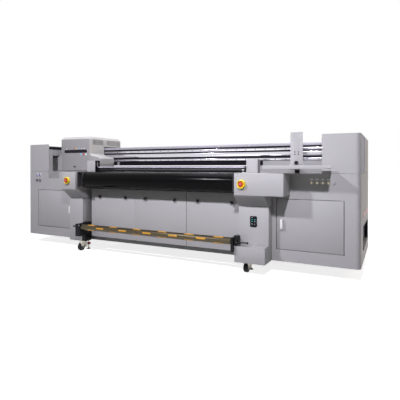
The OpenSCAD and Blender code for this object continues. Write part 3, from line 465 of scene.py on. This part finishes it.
class PRINTER_OT_stage(bpy.types.Operator):
    """Sets up the floor, the backdrop light, the lamps and the camera."""

    bl_idname = "printer.stage"
    bl_label = "Stage"

    def execute(self, context):
        scene = context.scene
        scene.view_settings.view_transform = "Standard"
        self.floor()
        self.backdrop(scene)
        for name, place, aim, width, spread, power, code in LAMPS:
            only()
            bpy.ops.object.light_add(type="AREA", location=place)
            lamp = context.object
            lamp.name = name
            lamp.rotation_euler = (Vector(aim) - Vector(place)).to_track_quat("-Z", "Y").to_euler()
            lamp.data.shape = "DISK"
            lamp.data.size = width or scene.printer_sizes.lamp_size
            lamp.data.spread = math.radians(spread)
            lamp.data.energy = power
            lamp.data.color = rgb(code)
        only()
        turn = (math.radians(90), 0, math.radians(CAMERA_TURN))
        bpy.ops.object.camera_add(location=CAMERA_PLACE, rotation=turn)
        camera = context.object
        camera.data.sensor_width = CAMERA_SENSOR
        camera.data.lens = CAMERA_LENS
        camera.data.shift_y = CAMERA_SHIFT
        scene.camera = camera
        return {"FINISHED"}

    def floor(self):
        """Pale studio floor: plain to the light, white to the eye, and it keeps the shadow."""
        only()
        bpy.ops.mesh.primitive_plane_add(size=FLOOR_WIDTH)
        floor = bpy.context.object
        floor.name = "floor"
        bpy.ops.object.mode_set(mode="EDIT")
        bpy.ops.mesh.subdivide(number_cuts=3)
        done()
        material = bpy.data.materials.new("studio floor")
        material.use_nodes = True
        tree = material.node_tree
        tree.nodes.remove(tree.nodes["Principled BSDF"])
        place = add(tree, "ShaderNodeTexCoord").outputs["Object"]
        far = add(tree, "ShaderNodeVectorMath", {0: place}, operation="LENGTH").outputs["Value"]
        fade = add(tree, "ShaderNodeMapRange", {
            "Value": far, "From Min": GLOW_FROM[0], "From Max": GLOW_TO[0],
            "To Min": GLOW_FROM[1], "To Max": GLOW_TO[1]}).outputs[0]
        grey = add(tree, "ShaderNodeBsdfDiffuse", {"Color": FLOOR_BOUNCE}).outputs[0]
        pale = add(tree, "ShaderNodeBsdfDiffuse", {"Color": FLOOR_SEEN}).outputs[0]
        glow = add(tree, "ShaderNodeEmission", {"Color": WHITE, "Strength": fade}).outputs[0]
        seen = add(tree, "ShaderNodeAddShader", {0: pale, 1: glow}).outputs[0]
        both = add(tree, "ShaderNodeMixShader", {0: direct(tree), 1: grey, 2: seen}).outputs[0]
        tree.links.new(both, tree.nodes["Material Output"].inputs["Surface"])
        floor.data.materials.append(material)

    def backdrop(self, scene):
        """White to the eye and in reflections, soft grey light to everything else."""
        scene.world = scene.world or bpy.data.worlds.new("studio")
        scene.world.use_nodes = True
        tree = scene.world.node_tree
        level = add(tree, "ShaderNodeMapRange", {
            "Value": direct(tree), "To Min": WORLD_LIGHT, "To Max": 1.0}).outputs[0]
        light = tree.nodes["Background"]
        light.inputs["Color"].default_value = WHITE
        tree.links.new(level, light.inputs["Strength"])


def coat(piece, finish, test):
    """Gives the chosen faces of a piece another finish."""
    pick(piece, test)
    piece.data.materials.append(FINISH[finish])
    piece.active_material_index = len(piece.data.materials) - 1
    bpy.ops.object.material_slot_assign()
    done()
    return piece


def plate(name, low, high, radius, way="y", edge=0.0008):
    """Flat plate with round corners across one axis and a fine edge."""
    piece = block(name, low, high)
    axis = "xyz".index(way)
    pick(piece, lambda c, d: abs(d.normalized()[axis]) > FACING, "edges")
    bpy.ops.mesh.bevel(offset=radius, segments=5, affect="EDGES")
    done()
    return soften(piece, edge, 1, 60)


def row(name, first, step, count):
    """Repeats a small piece along a line and joins the row."""
    return merge(name, copies(first, [tuple(s * i for s in step) for i in range(1, count)]))


BAR_SHARE = 0.56  # of the pitch, for the bar itself


def bars(name, low, high, pitch):
    """Row of upright vent bars along Y on a side face."""
    width = pitch * BAR_SHARE
    bar = block(name, low, (high[0], low[1] + width, high[2]))
    return row(name, soften(bar, 0.0006, 1), (0, pitch, 0), int((high[1] - low[1] - width) / pitch) + 1)


# Carriage: places along X and heights, read from the photograph
WINDOW = ((-1.675, 1.301), (-1.25, 1.345))
LENS_Z = 1.361
LENSES = (("a", -1.632, "handle_white"), ("b", -1.484, "signal_red"), ("c", -1.441, "guard_yellow"),
          ("d", -1.391, "lens_sky"), ("e", -1.345, "lens_pale"), ("f", -1.299, "handle_white"))
SQUARE_Z, SQUARE_HALF = (1.267, 1.294), 0.014
SQUARES = (("a", -1.357, "lens_sky"), ("b", -1.313, "signal_red"), ("c", -1.269, "lens_pale"))
LOCK = (-1.473, 1.109)
SEAM_Z = (1.132, 1.1355)
VENT_Z, BAR_Z = (1.412, 1.493), (1.42, 1.486)
VENTS = (("front", 0.158, 0.404), ("back", 0.455, 0.76))  # from and to, behind the towers' front


class PRINTER_OT_carriage(bpy.types.Operator):
    """Dresses the print carriage, its lamp housings and its heads."""

    bl_idname = "printer.carriage"
    bl_label = "Carriage"

    def execute(self, context):
        low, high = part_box("carriage_cover")
        face = low[1]
        sizes = context.scene.printer_sizes
        for node, edge in (("carriage_cover", 0.004), ("lamp_housings", 0.006)):
            # painted light: every face but the front takes the pale coat, which partly stands in for light on
            # the sides and top
            skin = dressed(node, "pale_lit_paint", edge)
            coat(skin, "front_paint", lambda c, n: frontal(c, n) and c.y < face + 0.01)
        self.front(face, sizes.trim)
        self.vents(low[0], high[0], sizes.vent_pitch)
        end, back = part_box("lamp_housings")[1][:2]
        self.sensor(end, back)
        seam = block("lamp_seam", (end - SINK, face + 0.004, SEAM_Z[0]),
                     (end + 0.0006, FRONT + 0.407, SEAM_Z[1]))
        on_carriage(soften(seam, 0.0004, 1), "head_dark")
        dressed("carriage_slider", "table_aluminium", 0.001)
        heads = dressed("print_heads", "head_dark", 0.0015)
        coat(heads, "bright_steel", lambda c, n: n.z < -FACING)
        return {"FINISHED"}

    def front(self, face, trim):
        """Dark window, indicator lenses, colour squares and a lock on the front plate."""
        (x0, z0), (x1, z1) = WINDOW
        window = plate("front_window", (x0, face - trim, z0), (x1, face + SINK, z1), 0.02)
        recess(window, frontal, 0.003, 0.001)
        on_carriage(window, "slot_black")
        rings = ((-0.002, 0.005), (-0.001, 0.008), (0.003, 0.009))
        for name, x, finish in LENSES:
            on_carriage(turned("lens_" + name, "y", (x, face - trim, LENS_Z), rings, 20), finish)
        for name, x, finish in SQUARES:
            square = plate("square_" + name, (x - SQUARE_HALF, face - 0.0012, SQUARE_Z[0]),
                           (x + SQUARE_HALF, face + SINK, SQUARE_Z[1]), 0.003)
            on_carriage(square, finish)
        x, z = LOCK
        lock = turned("cover_lock", "y", (x, face, z), (
            (-0.016, 0.006), (-0.018, 0.009), (-0.018, 0.013), (-0.015, 0.0155), (-0.006, 0.0155),
            (-0.004, 0.012), (0.002, 0.012)), 24)
        on_carriage(lock, "knob_grey")
        coat(lock, "black_plastic", lambda c, n: math.hypot(c.x - x, c.z - z) < 0.0105)

    def sensor(self, end, back):
        """Crash sensor on an arm behind the right lamp housing, low over the bed."""
        arm = block("sensor_arm", (end - 0.002, back - 0.024, 1.126), (end + 0.09, back - 0.012, 1.132))
        on_carriage(soften(arm, 0.0008), "head_dark")
        eye = plate("sensor_eye", (end + 0.088, back - 0.03, 1.124), (end + 0.112, back - 0.006, 1.171),
                    0.004)
        recess(eye, frontal, 0.004, 0.001)
        on_carriage(eye, "button_grey")

    def vents(self, left, right, pitch):
        """Barred vents on both sides of the part that reaches over the beam."""
        for end, out in ((right, 1), (left, -1)):
            near, far = sorted((end, end + out * 0.003))
            for name, y0, y1 in VENTS:
                rim = plate("vent_" + name, (end - 0.0015, FRONT + y0, VENT_Z[0]),
                            (end + 0.0015, FRONT + y1, VENT_Z[1]), 0.006, "x")
                recess(rim, lambda c, n: n.x * out > FACING, 0.006, 0.001)
                on_carriage(rim, "pale_lit_paint")
                coat(rim, "head_dark", lambda c, n: n.x * out > FACING and abs(c.x - end) < 0.0009)
                grille = bars("bars_" + name, (near, FRONT + y0 + 0.008, BAR_Z[0]),
                              (far, FRONT + y1 - 0.008, BAR_Z[1]), pitch)
                on_carriage(grille, "pale_lit_paint")


# Gantry: heights of the two rails and of the skirt's foot, spacing of the rails' screws and the beam's bolts
RAILS_Z, SKIRT_Z, SCREW_STEP, BOLT_STEP = (1.193, 1.31), 1.0425, 0.12, 0.4


class PRINTER_OT_gantry(bpy.types.Operator):
    """Dresses the beam with its guides, its black slots and its screws; the black at its foot and its darker
    skirt are painted shade.
    """

    bl_idname = "printer.gantry"
    bl_label = "Gantry"

    def execute(self, context):
        face = FRONT + 0.43
        beam = dressed("gantry_beam", "beam_aluminium", 0.0015)
        # the front plane round the guides is coated black: anodised channels between them, and at the beam's
        # foot painted shade of the gap over the belt
        coat(beam, "slot_black", lambda c, n: frontal(c, n) and abs(c.y - face) < 0.002)
        dressed("linear_rails", "bright_steel", 0.001)
        left, right = (corner[0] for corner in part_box("linear_rails"))
        for z in RAILS_Z:
            screw = turned("rail_screw", "y", (left + SCREW_STEP, RAIL_FACE, z), (
                (-0.0008, 0.003), (-0.0012, 0.0055), (-0.0002, 0.0062), (0.001, 0.0062)), 10)
            holes = row("rail_screws", screw, (SCREW_STEP, 0, 0), int((right - left) / SCREW_STEP) - 1)
            seat(holes, "machine", "bright_steel", "slot_black")
        low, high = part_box("gantry_beam")
        seal = block("beam_seal", (low[0] + 0.01, FRONT + 0.4138, 1.333),
                     (high[0] - 0.01, FRONT + 0.4155, 1.345))
        seat(soften(seal, 0.0006, 1), "machine", "beam_aluminium", "slot_black")
        # painted shade: the skirt below the beam takes the darker front coat, standing in for the shade it
        # lies in
        for name, start, stop in (
                ("skirt_sheet", (1.165, face - 0.005, SKIRT_Z), (1.886, face - 0.002, 1.179)),
                ("skirt_end", (1.12, face + 0.016, SKIRT_Z), (1.17, face + 0.019, 1.1235))):
            seat(soften(block(name, start, stop), 0.001), "machine", "beam_aluminium", "front_paint")
        bolt = turned("beam_bolt", "y", (-1.8, RAIL_FACE, 1.356), (
            (-0.003, 0.003), (-0.005, 0.004), (-0.0045, 0.007), (0.001, 0.007)), 12)
        seat(row("beam_bolts", bolt, (BOLT_STEP, 0, 0), 10), "machine", "beam_aluminium", "bright_steel")
        return {"FINISHED"}


def fluted(name, axis, at, rings, sides, depth):
    """Turned knob with every second side face sunk."""
    knob = turned(name, axis, at, rings, sides)
    along = "xyz".index(axis)
    across = [i for i in range(3) if i != along]

    def groove(c, n):
        turn = math.atan2(n[across[1]], n[across[0]]) / math.tau * sides
        return abs(n[along]) < 0.2 and round(turn - 0.5) % 2 == 0

    return recess(knob, groove, 0.0002, depth, True)


class PRINTER_OT_conveyor(bpy.types.Operator):
    """Dresses the belt bed, its rollers and the pressure bar over it."""

    bl_idname = "printer.conveyor"
    bl_label = "Conveyor"

    def execute(self, context):
        dressed("conveyor_belt", "belt", 0)
        for node in ("front_roller", "rear_roller"):
            dressed(node, "bright_steel", 0.0015)
        dressed("conveyor_side_plates", "graphite", 0.004)
        dressed("vacuum_table", "table_aluminium", 0.0005)
        dressed("capping_station", "head_dark", 0.002)
        low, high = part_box("pressure_bar")
        bar = dressed("pressure_bar", "chrome", 0.0012)
        coat(bar, "black_metal", lambda c, n: not low[0] + 0.046 < c.x < high[0] - 0.056)
        dressed("pressure_roller", "roller_rubber", 0.002)
        blocks = dressed("pressure_blocks", "paint", 0.003)
        # painted shade: the right block's sides take the darker front coat, and the left block's inner side
        # is black, partly a black bearing plate and partly painted shade
        coat(blocks, "front_paint", lambda c, n: abs(n.x) > FACING and c.x > 0)
        coat(blocks, "black_metal", lambda c, n: n.x > FACING and c.x < 0)
        return {"FINISHED"}


LUG_RADIUS = 0.0374  # what lies outside it on a shaft is a lug
VALVE_X = -1.1  # what lies left of it on a shaft is its black valve end


class PRINTER_OT_rolls(bpy.types.Operator):
    """Dresses the take-up and unwind shafts with their brackets, motor and lever."""

    bl_idname = "printer.rolls"
    bl_label = "Rolls"

    def execute(self, context):
        shaft = dressed("takeup_shaft", "shaft_metal", 0.001)
        coat(shaft, "black_metal", lambda c, n: c.x < VALVE_X)
        dressed("takeup_lugs", "lug_rubber", 0.0015)
        unwind = dressed("unwind_shaft", "shaft_metal", 0.001)
        _, y, z = middle("unwind_shaft")
        coat(unwind, "lug_rubber", lambda c, n: math.hypot(c.y - y, c.z - z) > LUG_RADIUS)
        coat(unwind, "black_metal", lambda c, n: c.x < VALVE_X)
        dressed("shaft_brackets", "black_metal", 0.003)
        pin = turned("chuck_pin", "y", (-1.008, FRONT - 0.285, 0.367), (
            (-0.003, 0.004), (-0.004, 0.0075), (-0.003, 0.01), (0.001, 0.0105)), 20)
        seat(pin, "machine", "black_metal", "knob_grey")
        dressed("takeup_motor", "black_metal", 0.004)
        self.motor()
        dressed("takeup_lever", "black_plastic", 0.0025)
        return {"FINISHED"}

    def motor(self):
        """Cooling ribs on the motor's housing."""
        low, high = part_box("takeup_motor")
        rib = block("motor_rib", (high[0] - SINK, low[1] + 0.012, low[2] + 0.02),
                    (high[0] + 0.003, high[1] - 0.008, low[2] + 0.025))
        ribs = row("motor_ribs", soften(rib, 0.001), (0, 0, 0.011), 6)
        seat(ribs, "machine", "black_metal", "black_metal")


SEAL_X = 0.389  # seam between the middle and the right panel
KNOB_RADIUS, PANEL_STEP, KNOB_STEP = 0.018, 0.717, 0.414
FOOT_RADIUS = 0.026
THREADS, THREAD_STEP = 9, 0.006
# Marks on the display: name, shares of its width and height, finish
MARKS = (("a", 0.3, 0.87, "lens_pale"), ("b", 0.3, 0.69, "lens_teal"), ("c", 0.72, 0.68, "lens_teal"),
         ("d", 0.3, 0.53, "lens_teal"), ("e", 0.72, 0.52, "lens_pale"), ("f", 0.3, 0.27, "lens_pale"),
         ("g", 0.7, 0.26, "button_grey"))


class PRINTER_OT_ground(bpy.types.Operator):
    """Dresses the stands, the lower panels, the casters and the levelling feet."""

    bl_idname = "printer.ground"
    bl_label = "Stands and feet"

    def execute(self, context):
        dressed("base_frame", "paint", 0.0025)
        for node in ("front_stands", "rear_stands"):
            dressed(node, "paint", 0.007)
        dressed("lower_panels", "panel_paint", 0.001)
        self.seal(context.scene.printer_sizes.seal_width)
        self.knobs()
        for node in ("left_caster_fork", "right_caster_fork", "rear_caster_forks"):
            dressed(node, "zinc", 0.0012)
        self.wheels()
        self.feet()
        self.guards()
        return {"FINISHED"}

    def seal(self, width):
        """Dark strip in the seam between the middle and the right panel: painted shade of the gap."""
        strip = block("panel_seal", (SEAL_X - width / 2, FRONT - 0.021, 0.195),
                      (SEAL_X + width / 2, FRONT - 0.017, 0.816))
        on_cabinet(soften(strip, 0.0008, 1), "tyre")

    def knobs(self):
        """Turned knobs with a lobed rim that hold the lower panels."""
        low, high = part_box("panel_knobs")
        places = [low[0] + KNOB_RADIUS + PANEL_STEP * i + KNOB_STEP * j for i in range(3) for j in range(2)]
        rings = ((-0.038, 0.004), (-0.038, 0.0085), (-0.034, 0.0095), (-0.028, 0.0105), (-0.026, 0.0172),
                 (-0.0225, 0.018), (-0.012, 0.018), (-0.009, 0.0165), (-0.009, 0.01), (0, 0.01))
        at = (places[0], low[1] + 0.038, low[2] + KNOB_RADIUS)
        front = fluted("panel_knob", "y", at, rings, 24, 0.0012)
        line = merge("panel_knobs_front", copies(front, [(x - places[0], 0, 0) for x in places[1:]]))
        only(line)
        bpy.ops.object.duplicate(linked=False)
        behind = bpy.context.object
        behind.rotation_euler = (0, 0, math.pi)
        behind.location = (0, low[1] + high[1], 0)
        behind = settle("panel_knobs_back")
        for knobs in (line, behind):
            seat(knobs, "machine", "black_plastic", "black_plastic", "panel_knobs")

    def wheels(self):
        """Tyres with a crowned tread and a grey hub; one is modelled and copied."""
        nodes = ("front_left_wheel", "front_right_wheel", "rear_left_wheel", "rear_right_wheel")
        at = middle(nodes[0])
        rings = ((-0.025, 0.0082), (-0.025, 0.017), (-0.0205, 0.019), (-0.0205, 0.031), (-0.024, 0.034),
                 (-0.0225, 0.043), (-0.016, 0.047), (-0.003, 0.048), (-0.0025, 0.0465), (0.0025, 0.0465),
                 (0.003, 0.048), (0.016, 0.047), (0.0225, 0.043), (0.024, 0.034), (0.0205, 0.031),
                 (0.0205, 0.019), (0.025, 0.017), (0.025, 0.0082))
        first = turned("caster_wheel", "x", at, rings, 40)
        others = [[a - b for a, b in zip(middle(node), at)] for node in nodes[1:]]
        for wheel, node in zip(copies(first, others), nodes):
            _, y, z = middle(node)
            seat(wheel, BODY[node], "tyre", "tyre", node)
            coat(wheel, "head_dark", lambda c, n: math.hypot(c.y - y, c.z - z) < 0.0322)

    def feet(self):
        """Pads, threaded stems and hand wheels of the levelling feet."""
        low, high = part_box("levelling_feet")
        corner = (low[0] + FOOT_RADIUS, low[1] + FOOT_RADIUS, 0)
        span = (high[0] - low[0] - 2 * FOOT_RADIUS, high[1] - low[1] - 2 * FOOT_RADIUS)
        moves = [(span[0], 0, 0), (0, span[1], 0), (span[0], span[1], 0)]
        stem = [(0.008, 0.006), (0.009, 0.009)]
        for i in range(THREADS):
            stem += [(0.012 + i * THREAD_STEP, 0.0078), (0.015 + i * THREAD_STEP, 0.009)]
        stem += [(0.132, 0.009)]
        pad = ((0, 0.025), (0.003, 0.026), (0.006, 0.024), (0.01, 0.014), (0.012, 0.011))
        rim = ((0.062, 0.012), (0.062, 0.0235), (0.0645, 0.026), (0.0815, 0.026), (0.084, 0.0235),
               (0.084, 0.019), (0.08, 0.016), (0.08, 0.012), (0.09, 0.0105))
        for name, rings, finish in (("foot_pad", pad, "black_plastic"), ("foot_stem", stem, "zinc")):
            piece = merge(name, copies(turned(name, "z", corner, rings), moves))
            seat(piece, "machine", "foot_red", finish, "levelling_feet")
        wheel = fluted("foot_wheel", "z", corner, rim, 40, 0.001)
        seat(merge("foot_wheels", copies(wheel, moves)), "machine", "foot_red", "foot_red", "levelling_feet")

    def guards(self):
        """Collars, emergency stop heads and the display on the posts."""
        dressed("estop_guards", "guard_yellow", 0.0022)
        rings = ((-0.0335, 0.0085), (-0.036, 0.0105), (-0.036, 0.016), (-0.0345, 0.0215), (-0.0315, 0.0245),
                 (-0.027, 0.025), (-0.0235, 0.0242), (-0.022, 0.0215), (-0.022, 0.009), (-0.007, 0.009))
        for node in ("estop_left", "estop_right"):
            x, _, z = middle(node)
            at = (x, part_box(node)[0][1] + 0.036, z)
            seat(turned(node + "_head", "y", at, rings, 40), node, "signal_red", "signal_red", node)
            dot = turned(node + "_dot", "y", at, ((-0.036, 0.0065), (-0.0355, 0.0085), (-0.033, 0.0092)), 24)
            seat(dot, node, "signal_red", "dot_grey")
        low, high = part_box("display_panel")
        case = plate("display_case", (low[0], low[1] + 0.002, low[2]), high, 0.014, edge=0.0015)
        recess(case, frontal, 0.004, 0.0008)
        seat(case, "machine", "display", "display", "display_panel")
        rings = ((-0.002, 0.002), (-0.0015, 0.004), (0.001, 0.0045))
        for name, x, z, finish in MARKS:
            at = (low[0] + x * (high[0] - low[0]), low[1] + 0.003, low[2] + z * (high[2] - low[2]))
            mark = turned("display_lamp_" + name, "y", at, rings, 20)
            seat(mark, "machine", "display", finish)


# Cabinets: places along X, depths and heights, read from the photograph or guessed at the back
FLAP = ((-1.865, 0.946), (-1.661, 1.036))
TOWER_SEAM_Z = (1.0394, 1.0416)
GAUGE_Z = 0.993
BUTTONS = 5
LABEL_HALF, LABEL_Z = 0.016, (0.027, 0.041)  # half width, and heights above the button's middle
BOTTLES, BOTTLE_ROW = 8, 0.774
BAY, BAY_RIM = ((FRONT + 0.301, 0.252), (FRONT + 1.095, 0.5)), 0.01
REAR_COVERS = (("left", -1.8), ("right", 1.82))


class PRINTER_OT_cabinets(bpy.types.Operator):
    """Dresses the cabinets and towers with their doors, vents, gauges and ink bay."""

    bl_idname = "printer.cabinets"
    bl_label = "Cabinets"

    def execute(self, context):
        trim = context.scene.printer_sizes.trim
        for node in ("left_cabinet", "right_cabinet", "left_tower", "right_tower"):
            dressed(node, "paint", 0, 0.0012)
        for side in ("left", "right"):
            dressed(side + "_door", "paint", 0.001)
            dressed(side + "_door_handle", "handle_white", 0.0045)
        dressed("door_pivot_pins", "bright_steel", 0)
        electrics = dressed("electrics_panel", "frame_paint", 0.002)
        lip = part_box("electrics_panel")[0][1] + 0.02
        coat(electrics, "button_grey", lambda c, n: frontal(c, n) and c.y < lip)
        (x0, z0), (x1, z1) = FLAP
        flap = plate("service_flap", (x0, FRONT - trim, z0), (x1, FRONT + SINK, z1), 0.003)
        recess(flap, frontal, 0.004, 0.0008)
        on_cabinet(flap, "front_paint")
        self.seams()
        self.gauges()
        self.buttons()
        self.ink()
        self.towers()
        self.rear()
        return {"FINISHED"}

    def seams(self):
        """Dark seals between each cabinet and the tower on it."""
        for side, start, end in (("left", 0.03, 0.0005), ("right", 0.0005, 0.12)):
            low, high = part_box(side + "_tower")
            seal = block(side + "_tower_seal", (low[0] + start, FRONT - 0.0006, TOWER_SEAM_Z[0]),
                         (high[0] - end, FRONT + 0.002, TOWER_SEAM_Z[1]))
            on_cabinet(soften(seal, 0.0003, 1), "graphite")

    def gauges(self):
        """Pressure gauges above the regulators, and the regulators' fluted knobs."""
        for i in (1, 2):
            node = f"regulator_knob_{i}"
            x, _, z = middle(node)
            knob = fluted(f"regulator_{i}", "y", (x, FRONT, z), (
                (-0.026, 0.005), (-0.028, 0.008), (-0.028, 0.0112), (-0.026, 0.013), (-0.008, 0.013),
                (-0.006, 0.0118), (-0.0006, 0.0118), (-0.0006, 0.005), (0.014, 0.005)), 24, 0.0008)
            seat(knob, node, SLOT[node], "knob_grey", node)
            ring = turned(f"gauge_ring_{i}", "y", (x, FRONT, GAUGE_Z), (
                (-0.007, 0.017), (-0.011, 0.0185), (-0.011, 0.021), (-0.008, 0.0225), (0.001, 0.0225)), 40)
            on_cabinet(ring, "handle_white")
            dial = turned(f"gauge_dial_{i}", "y", (x, FRONT, GAUGE_Z),
                          ((-0.0088, 0.012), (-0.0085, 0.0165), (-0.006, 0.0172)), 32)
            on_cabinet(dial, "gauge_blue")
            needle = block(f"gauge_needle_{i}", (x - 0.0006, FRONT - 0.0096, 0.991),
                           (x + 0.0006, FRONT - 0.0086, 1.004))
            on_cabinet(soften(needle, 0.0003, 1), "handle_white")

    def buttons(self):
        """Push buttons with bezels, and a bare label above each but the last, which is painted over."""
        for i in range(1, BUTTONS + 1):
            node, last = f"push_button_{i}", i == BUTTONS
            x, _, z = middle(node)
            cap = turned(f"button_{i}", "y", (x, FRONT, z), (
                (-0.0082, 0.006), (-0.009, 0.009), (-0.008, 0.0106), (-0.006, 0.011), (0.012, 0.011),
                (0.014, 0.009)), 32)
            seat(cap, node, SLOT[node], "paint" if last else SLOT[node], node)
            bezel = turned(f"bezel_{i}", "y", (x, FRONT, z), (
                (-0.002, 0.0114), (-0.0045, 0.0122), (-0.005, 0.0135), (-0.004, 0.0148),
                (0.0005, 0.0152)), 32)
            pick(bezel, lambda c, n: math.hypot(c.x - x, c.z - z) < 0.001)
            bpy.ops.mesh.delete(type="FACE")
            done()
            on_cabinet(bezel, "button_grey" if last else "button_cream")
            if not last:
                label = plate(f"bare_label_{i}", (x - LABEL_HALF, FRONT - 0.0008, z + LABEL_Z[0]),
                              (x + LABEL_HALF, FRONT + 0.0005, z + LABEL_Z[1]), 0.002)
                on_cabinet(label, "handle_white")

    def ink(self):
        """Blow moulded ink bottles with ribbed necks, and the red strip above their bay."""
        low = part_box("ink_bottles")[0]
        at = (middle("ink_bottles")[0], low[1] + 0.04, low[2])
        rings = ((0, 0.034), (0.003, 0.0385), (0.008, 0.04), (0.118, 0.04), (0.132, 0.037), (0.143, 0.028),
                 (0.15, 0.0175), (0.15, 0.017), (0.156, 0.017), (0.157, 0.0145), (0.16, 0.0145),
                 (0.161, 0.017), (0.174, 0.017), (0.176, 0.0155))
        bottle = turned("ink_bottle", "z", at, rings, 32)
        bottles = row("ink_bottles_row", bottle, (0, BOTTLE_ROW / BOTTLES, 0), BOTTLES)
        seat(bottles, "machine", "ink_blue", "ink_blue", "ink_bottles")
        coat(bottles, "black_plastic", lambda c, n: c.z > low[2] + 0.153)
        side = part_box("right_cabinet")[1][0]
        strip = plate("bay_strip", (side - SINK, FRONT + 0.311, 0.585), (side + 0.0022, FRONT + 1.1, 0.625),
                      0.004, "x")
        on_cabinet(strip, "strip_red")
        (y0, z0), (y1, z1) = BAY
        inner0, inner1 = z0 + BAY_RIM, z1 - BAY_RIM
        for name, start, stop in (("low", (y0, z0), (y1, inner0)), ("high", (y0, inner1), (y1, z1)),
                                  ("front", (y0, inner0), (y0 + BAY_RIM, inner1)),
                                  ("back", (y1 - BAY_RIM, inner0), (y1, inner1))):
            edge = block("bay_rim_" + name, (side - SINK, *start), (side + 0.003, *stop))
            on_cabinet(soften(edge, 0.001), "black_metal")

    def towers(self):
        """Black strips along the tops of the towers' inner walls and a mid grey plate behind the left gate,
        both painted shade.
        """
        left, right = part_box("left_tower")[1][0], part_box("right_tower")[0][0]
        # painted shade: a mid grey plate stands in for the dim inside of the tower seen through the gate
        gate_shade = plate("gate_baffle", (left - 0.068, FRONT + 0.05, 1.045),
                       (left - 0.065, FRONT + 0.425, 1.262), 0.02, "x")
        on_cabinet(gate_shade, "frame_paint")
        # painted shade: black strips along the top of both inner walls stand in for the shade under the
        # towers' top edges
        for wall, out in ((left, 1), (right, -1)):
            near, far = sorted((wall - out * 0.0005, wall + out * 0.003))
            seal = block("gate_seal", (near, FRONT + 0.008, 1.358), (far, FRONT + 0.4, 1.394))
            on_cabinet(soften(seal, 0.0012), "slot_black")

    def rear(self):
        """Vent panels, a fan grille and screws on the back of both cabinets."""
        for name, x in REAR_COVERS:
            cover = plate("rear_cover_" + name, (x - 0.3, BACK - SINK, 0.25), (x + 0.3, BACK + 0.0025, 0.88),
                          0.006)
            on_cabinet(cover, "paint")
            slot = plate("rear_slot", (x - 0.24, BACK + 0.002, 0.3), (x - 0.08, BACK + 0.0034, 0.308), 0.0035)
            slots = row("rear_slots_" + name, slot, (0, 0, 0.022), 12)
            slots = merge("rear_vents_" + name, copies(slots, [(0.32, 0, 0)]))
            on_cabinet(slots, "slot_black")
            fan = turned("fan_" + name, "y", (x, BACK, 0.72), (
                (0.001, 0.06), (0.003, 0.06), (0.006, 0.056), (0.006, 0.05), (0.003, 0.048), (0.003, 0.018),
                (0.006, 0.015), (0.006, 0.004)), 40)
            on_cabinet(fan, "black_metal")
            screw = turned("cover_screw", "y", (x - 0.285, BACK + 0.0022, 0.265), (
                (0.0, 0.006), (0.0016, 0.0055), (0.0026, 0.0035), (0.0018, 0.0015)), 14)
            screws = copies(screw, [(0.57, 0, 0), (0, 0, 0.6), (0.57, 0, 0.6), (0, 0, 0.3), (0.57, 0, 0.3)])
            on_cabinet(merge("cover_screws_" + name, screws), "bright_steel")


CLAMP_Z = 1.238  # middle of the four screws on the monitor plate


class PRINTER_OT_desk(bpy.types.Operator):
    """Dresses the operator's tray with its post, monitor plate and clamp knob."""

    bl_idname = "printer.desk"
    bl_label = "Operator place"

    def execute(self, context):
        dressed("tray", "paint", 0.001)
        post = dressed("tray_post", "black_metal", 0.001)
        coat(post, "front_paint", lambda c, n: c.y < FRONT + 0.001)
        dressed("monitor_plate", "paint", 0.0015)
        face, x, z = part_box("monitor_plate")[0][1], middle("monitor_plate")[0], CLAMP_Z
        corners = [(x + dx, z + dz) for dz in (-0.0115, 0.0115) for dx in (-0.018, 0.018)]
        for name, (x, z) in zip("abcd", corners):
            screw = turned("plate_screw_" + name, "y", (x, face, z), (
                (-0.0008, 0.002), (-0.0026, 0.003), (-0.0026, 0.005), (-0.001, 0.0062), (0.0005, 0.0062)), 18)
            seat(screw, "monitor_plate", "cabinet_paint", "black_plastic")
        x, _, z = middle("tilt_knob")
        knob = fluted("clamp_knob", "y", (x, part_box("tilt_knob")[0][1] + 0.022, z), (
            (-0.02, 0.006), (-0.022, 0.009), (-0.022, 0.016), (-0.0195, 0.019), (-0.008, 0.019),
            (-0.005, 0.017), (-0.005, 0.01), (-0.001, 0.009), (-0.001, 0.004), (0.009, 0.004)), 32, 0.0014)
        seat(knob, "tilt_knob", "black_plastic", "black_plastic", "tilt_knob")
        return {"FINISHED"}


class PRINTER_PT_panel(bpy.types.Panel):
    """Lists the settings and the steps."""

    bl_idname = "PRINTER_PT_panel"
    bl_label = "Hybrid UV Printer"
    bl_space_type = "VIEW_3D"
    bl_region_type = "UI"
    bl_category = "Printer"

    def draw(self, context):
        for group in (context.scene.printer_colours, context.scene.printer_sizes):
            for key in group.__annotations__:
                self.layout.prop(group, key)
        for step in STEPS:
            self.layout.operator(step.bl_idname)


STEPS = (PRINTER_OT_finishes, PRINTER_OT_stage, PRINTER_OT_cabinets, PRINTER_OT_ground, PRINTER_OT_rolls,
         PRINTER_OT_conveyor, PRINTER_OT_gantry, PRINTER_OT_carriage, PRINTER_OT_desk)
CLASSES = (PrinterColours, PrinterSizes) + STEPS + (PRINTER_PT_panel,)


def register():
    for kind in CLASSES:
        bpy.utils.register_class(kind)
    bpy.types.Scene.printer_colours = PointerProperty(type=PrinterColours)
    bpy.types.Scene.printer_sizes = PointerProperty(type=PrinterSizes)


def unregister():
    del bpy.types.Scene.printer_colours
    del bpy.types.Scene.printer_sizes
    for kind in reversed(CLASSES):
        bpy.utils.unregister_class(kind)


def main():
    register()
    for step in STEPS:
        group, name = step.bl_idname.split(".")
        getattr(getattr(bpy.ops, group), name)()


if __name__ == "__main__":
    main()
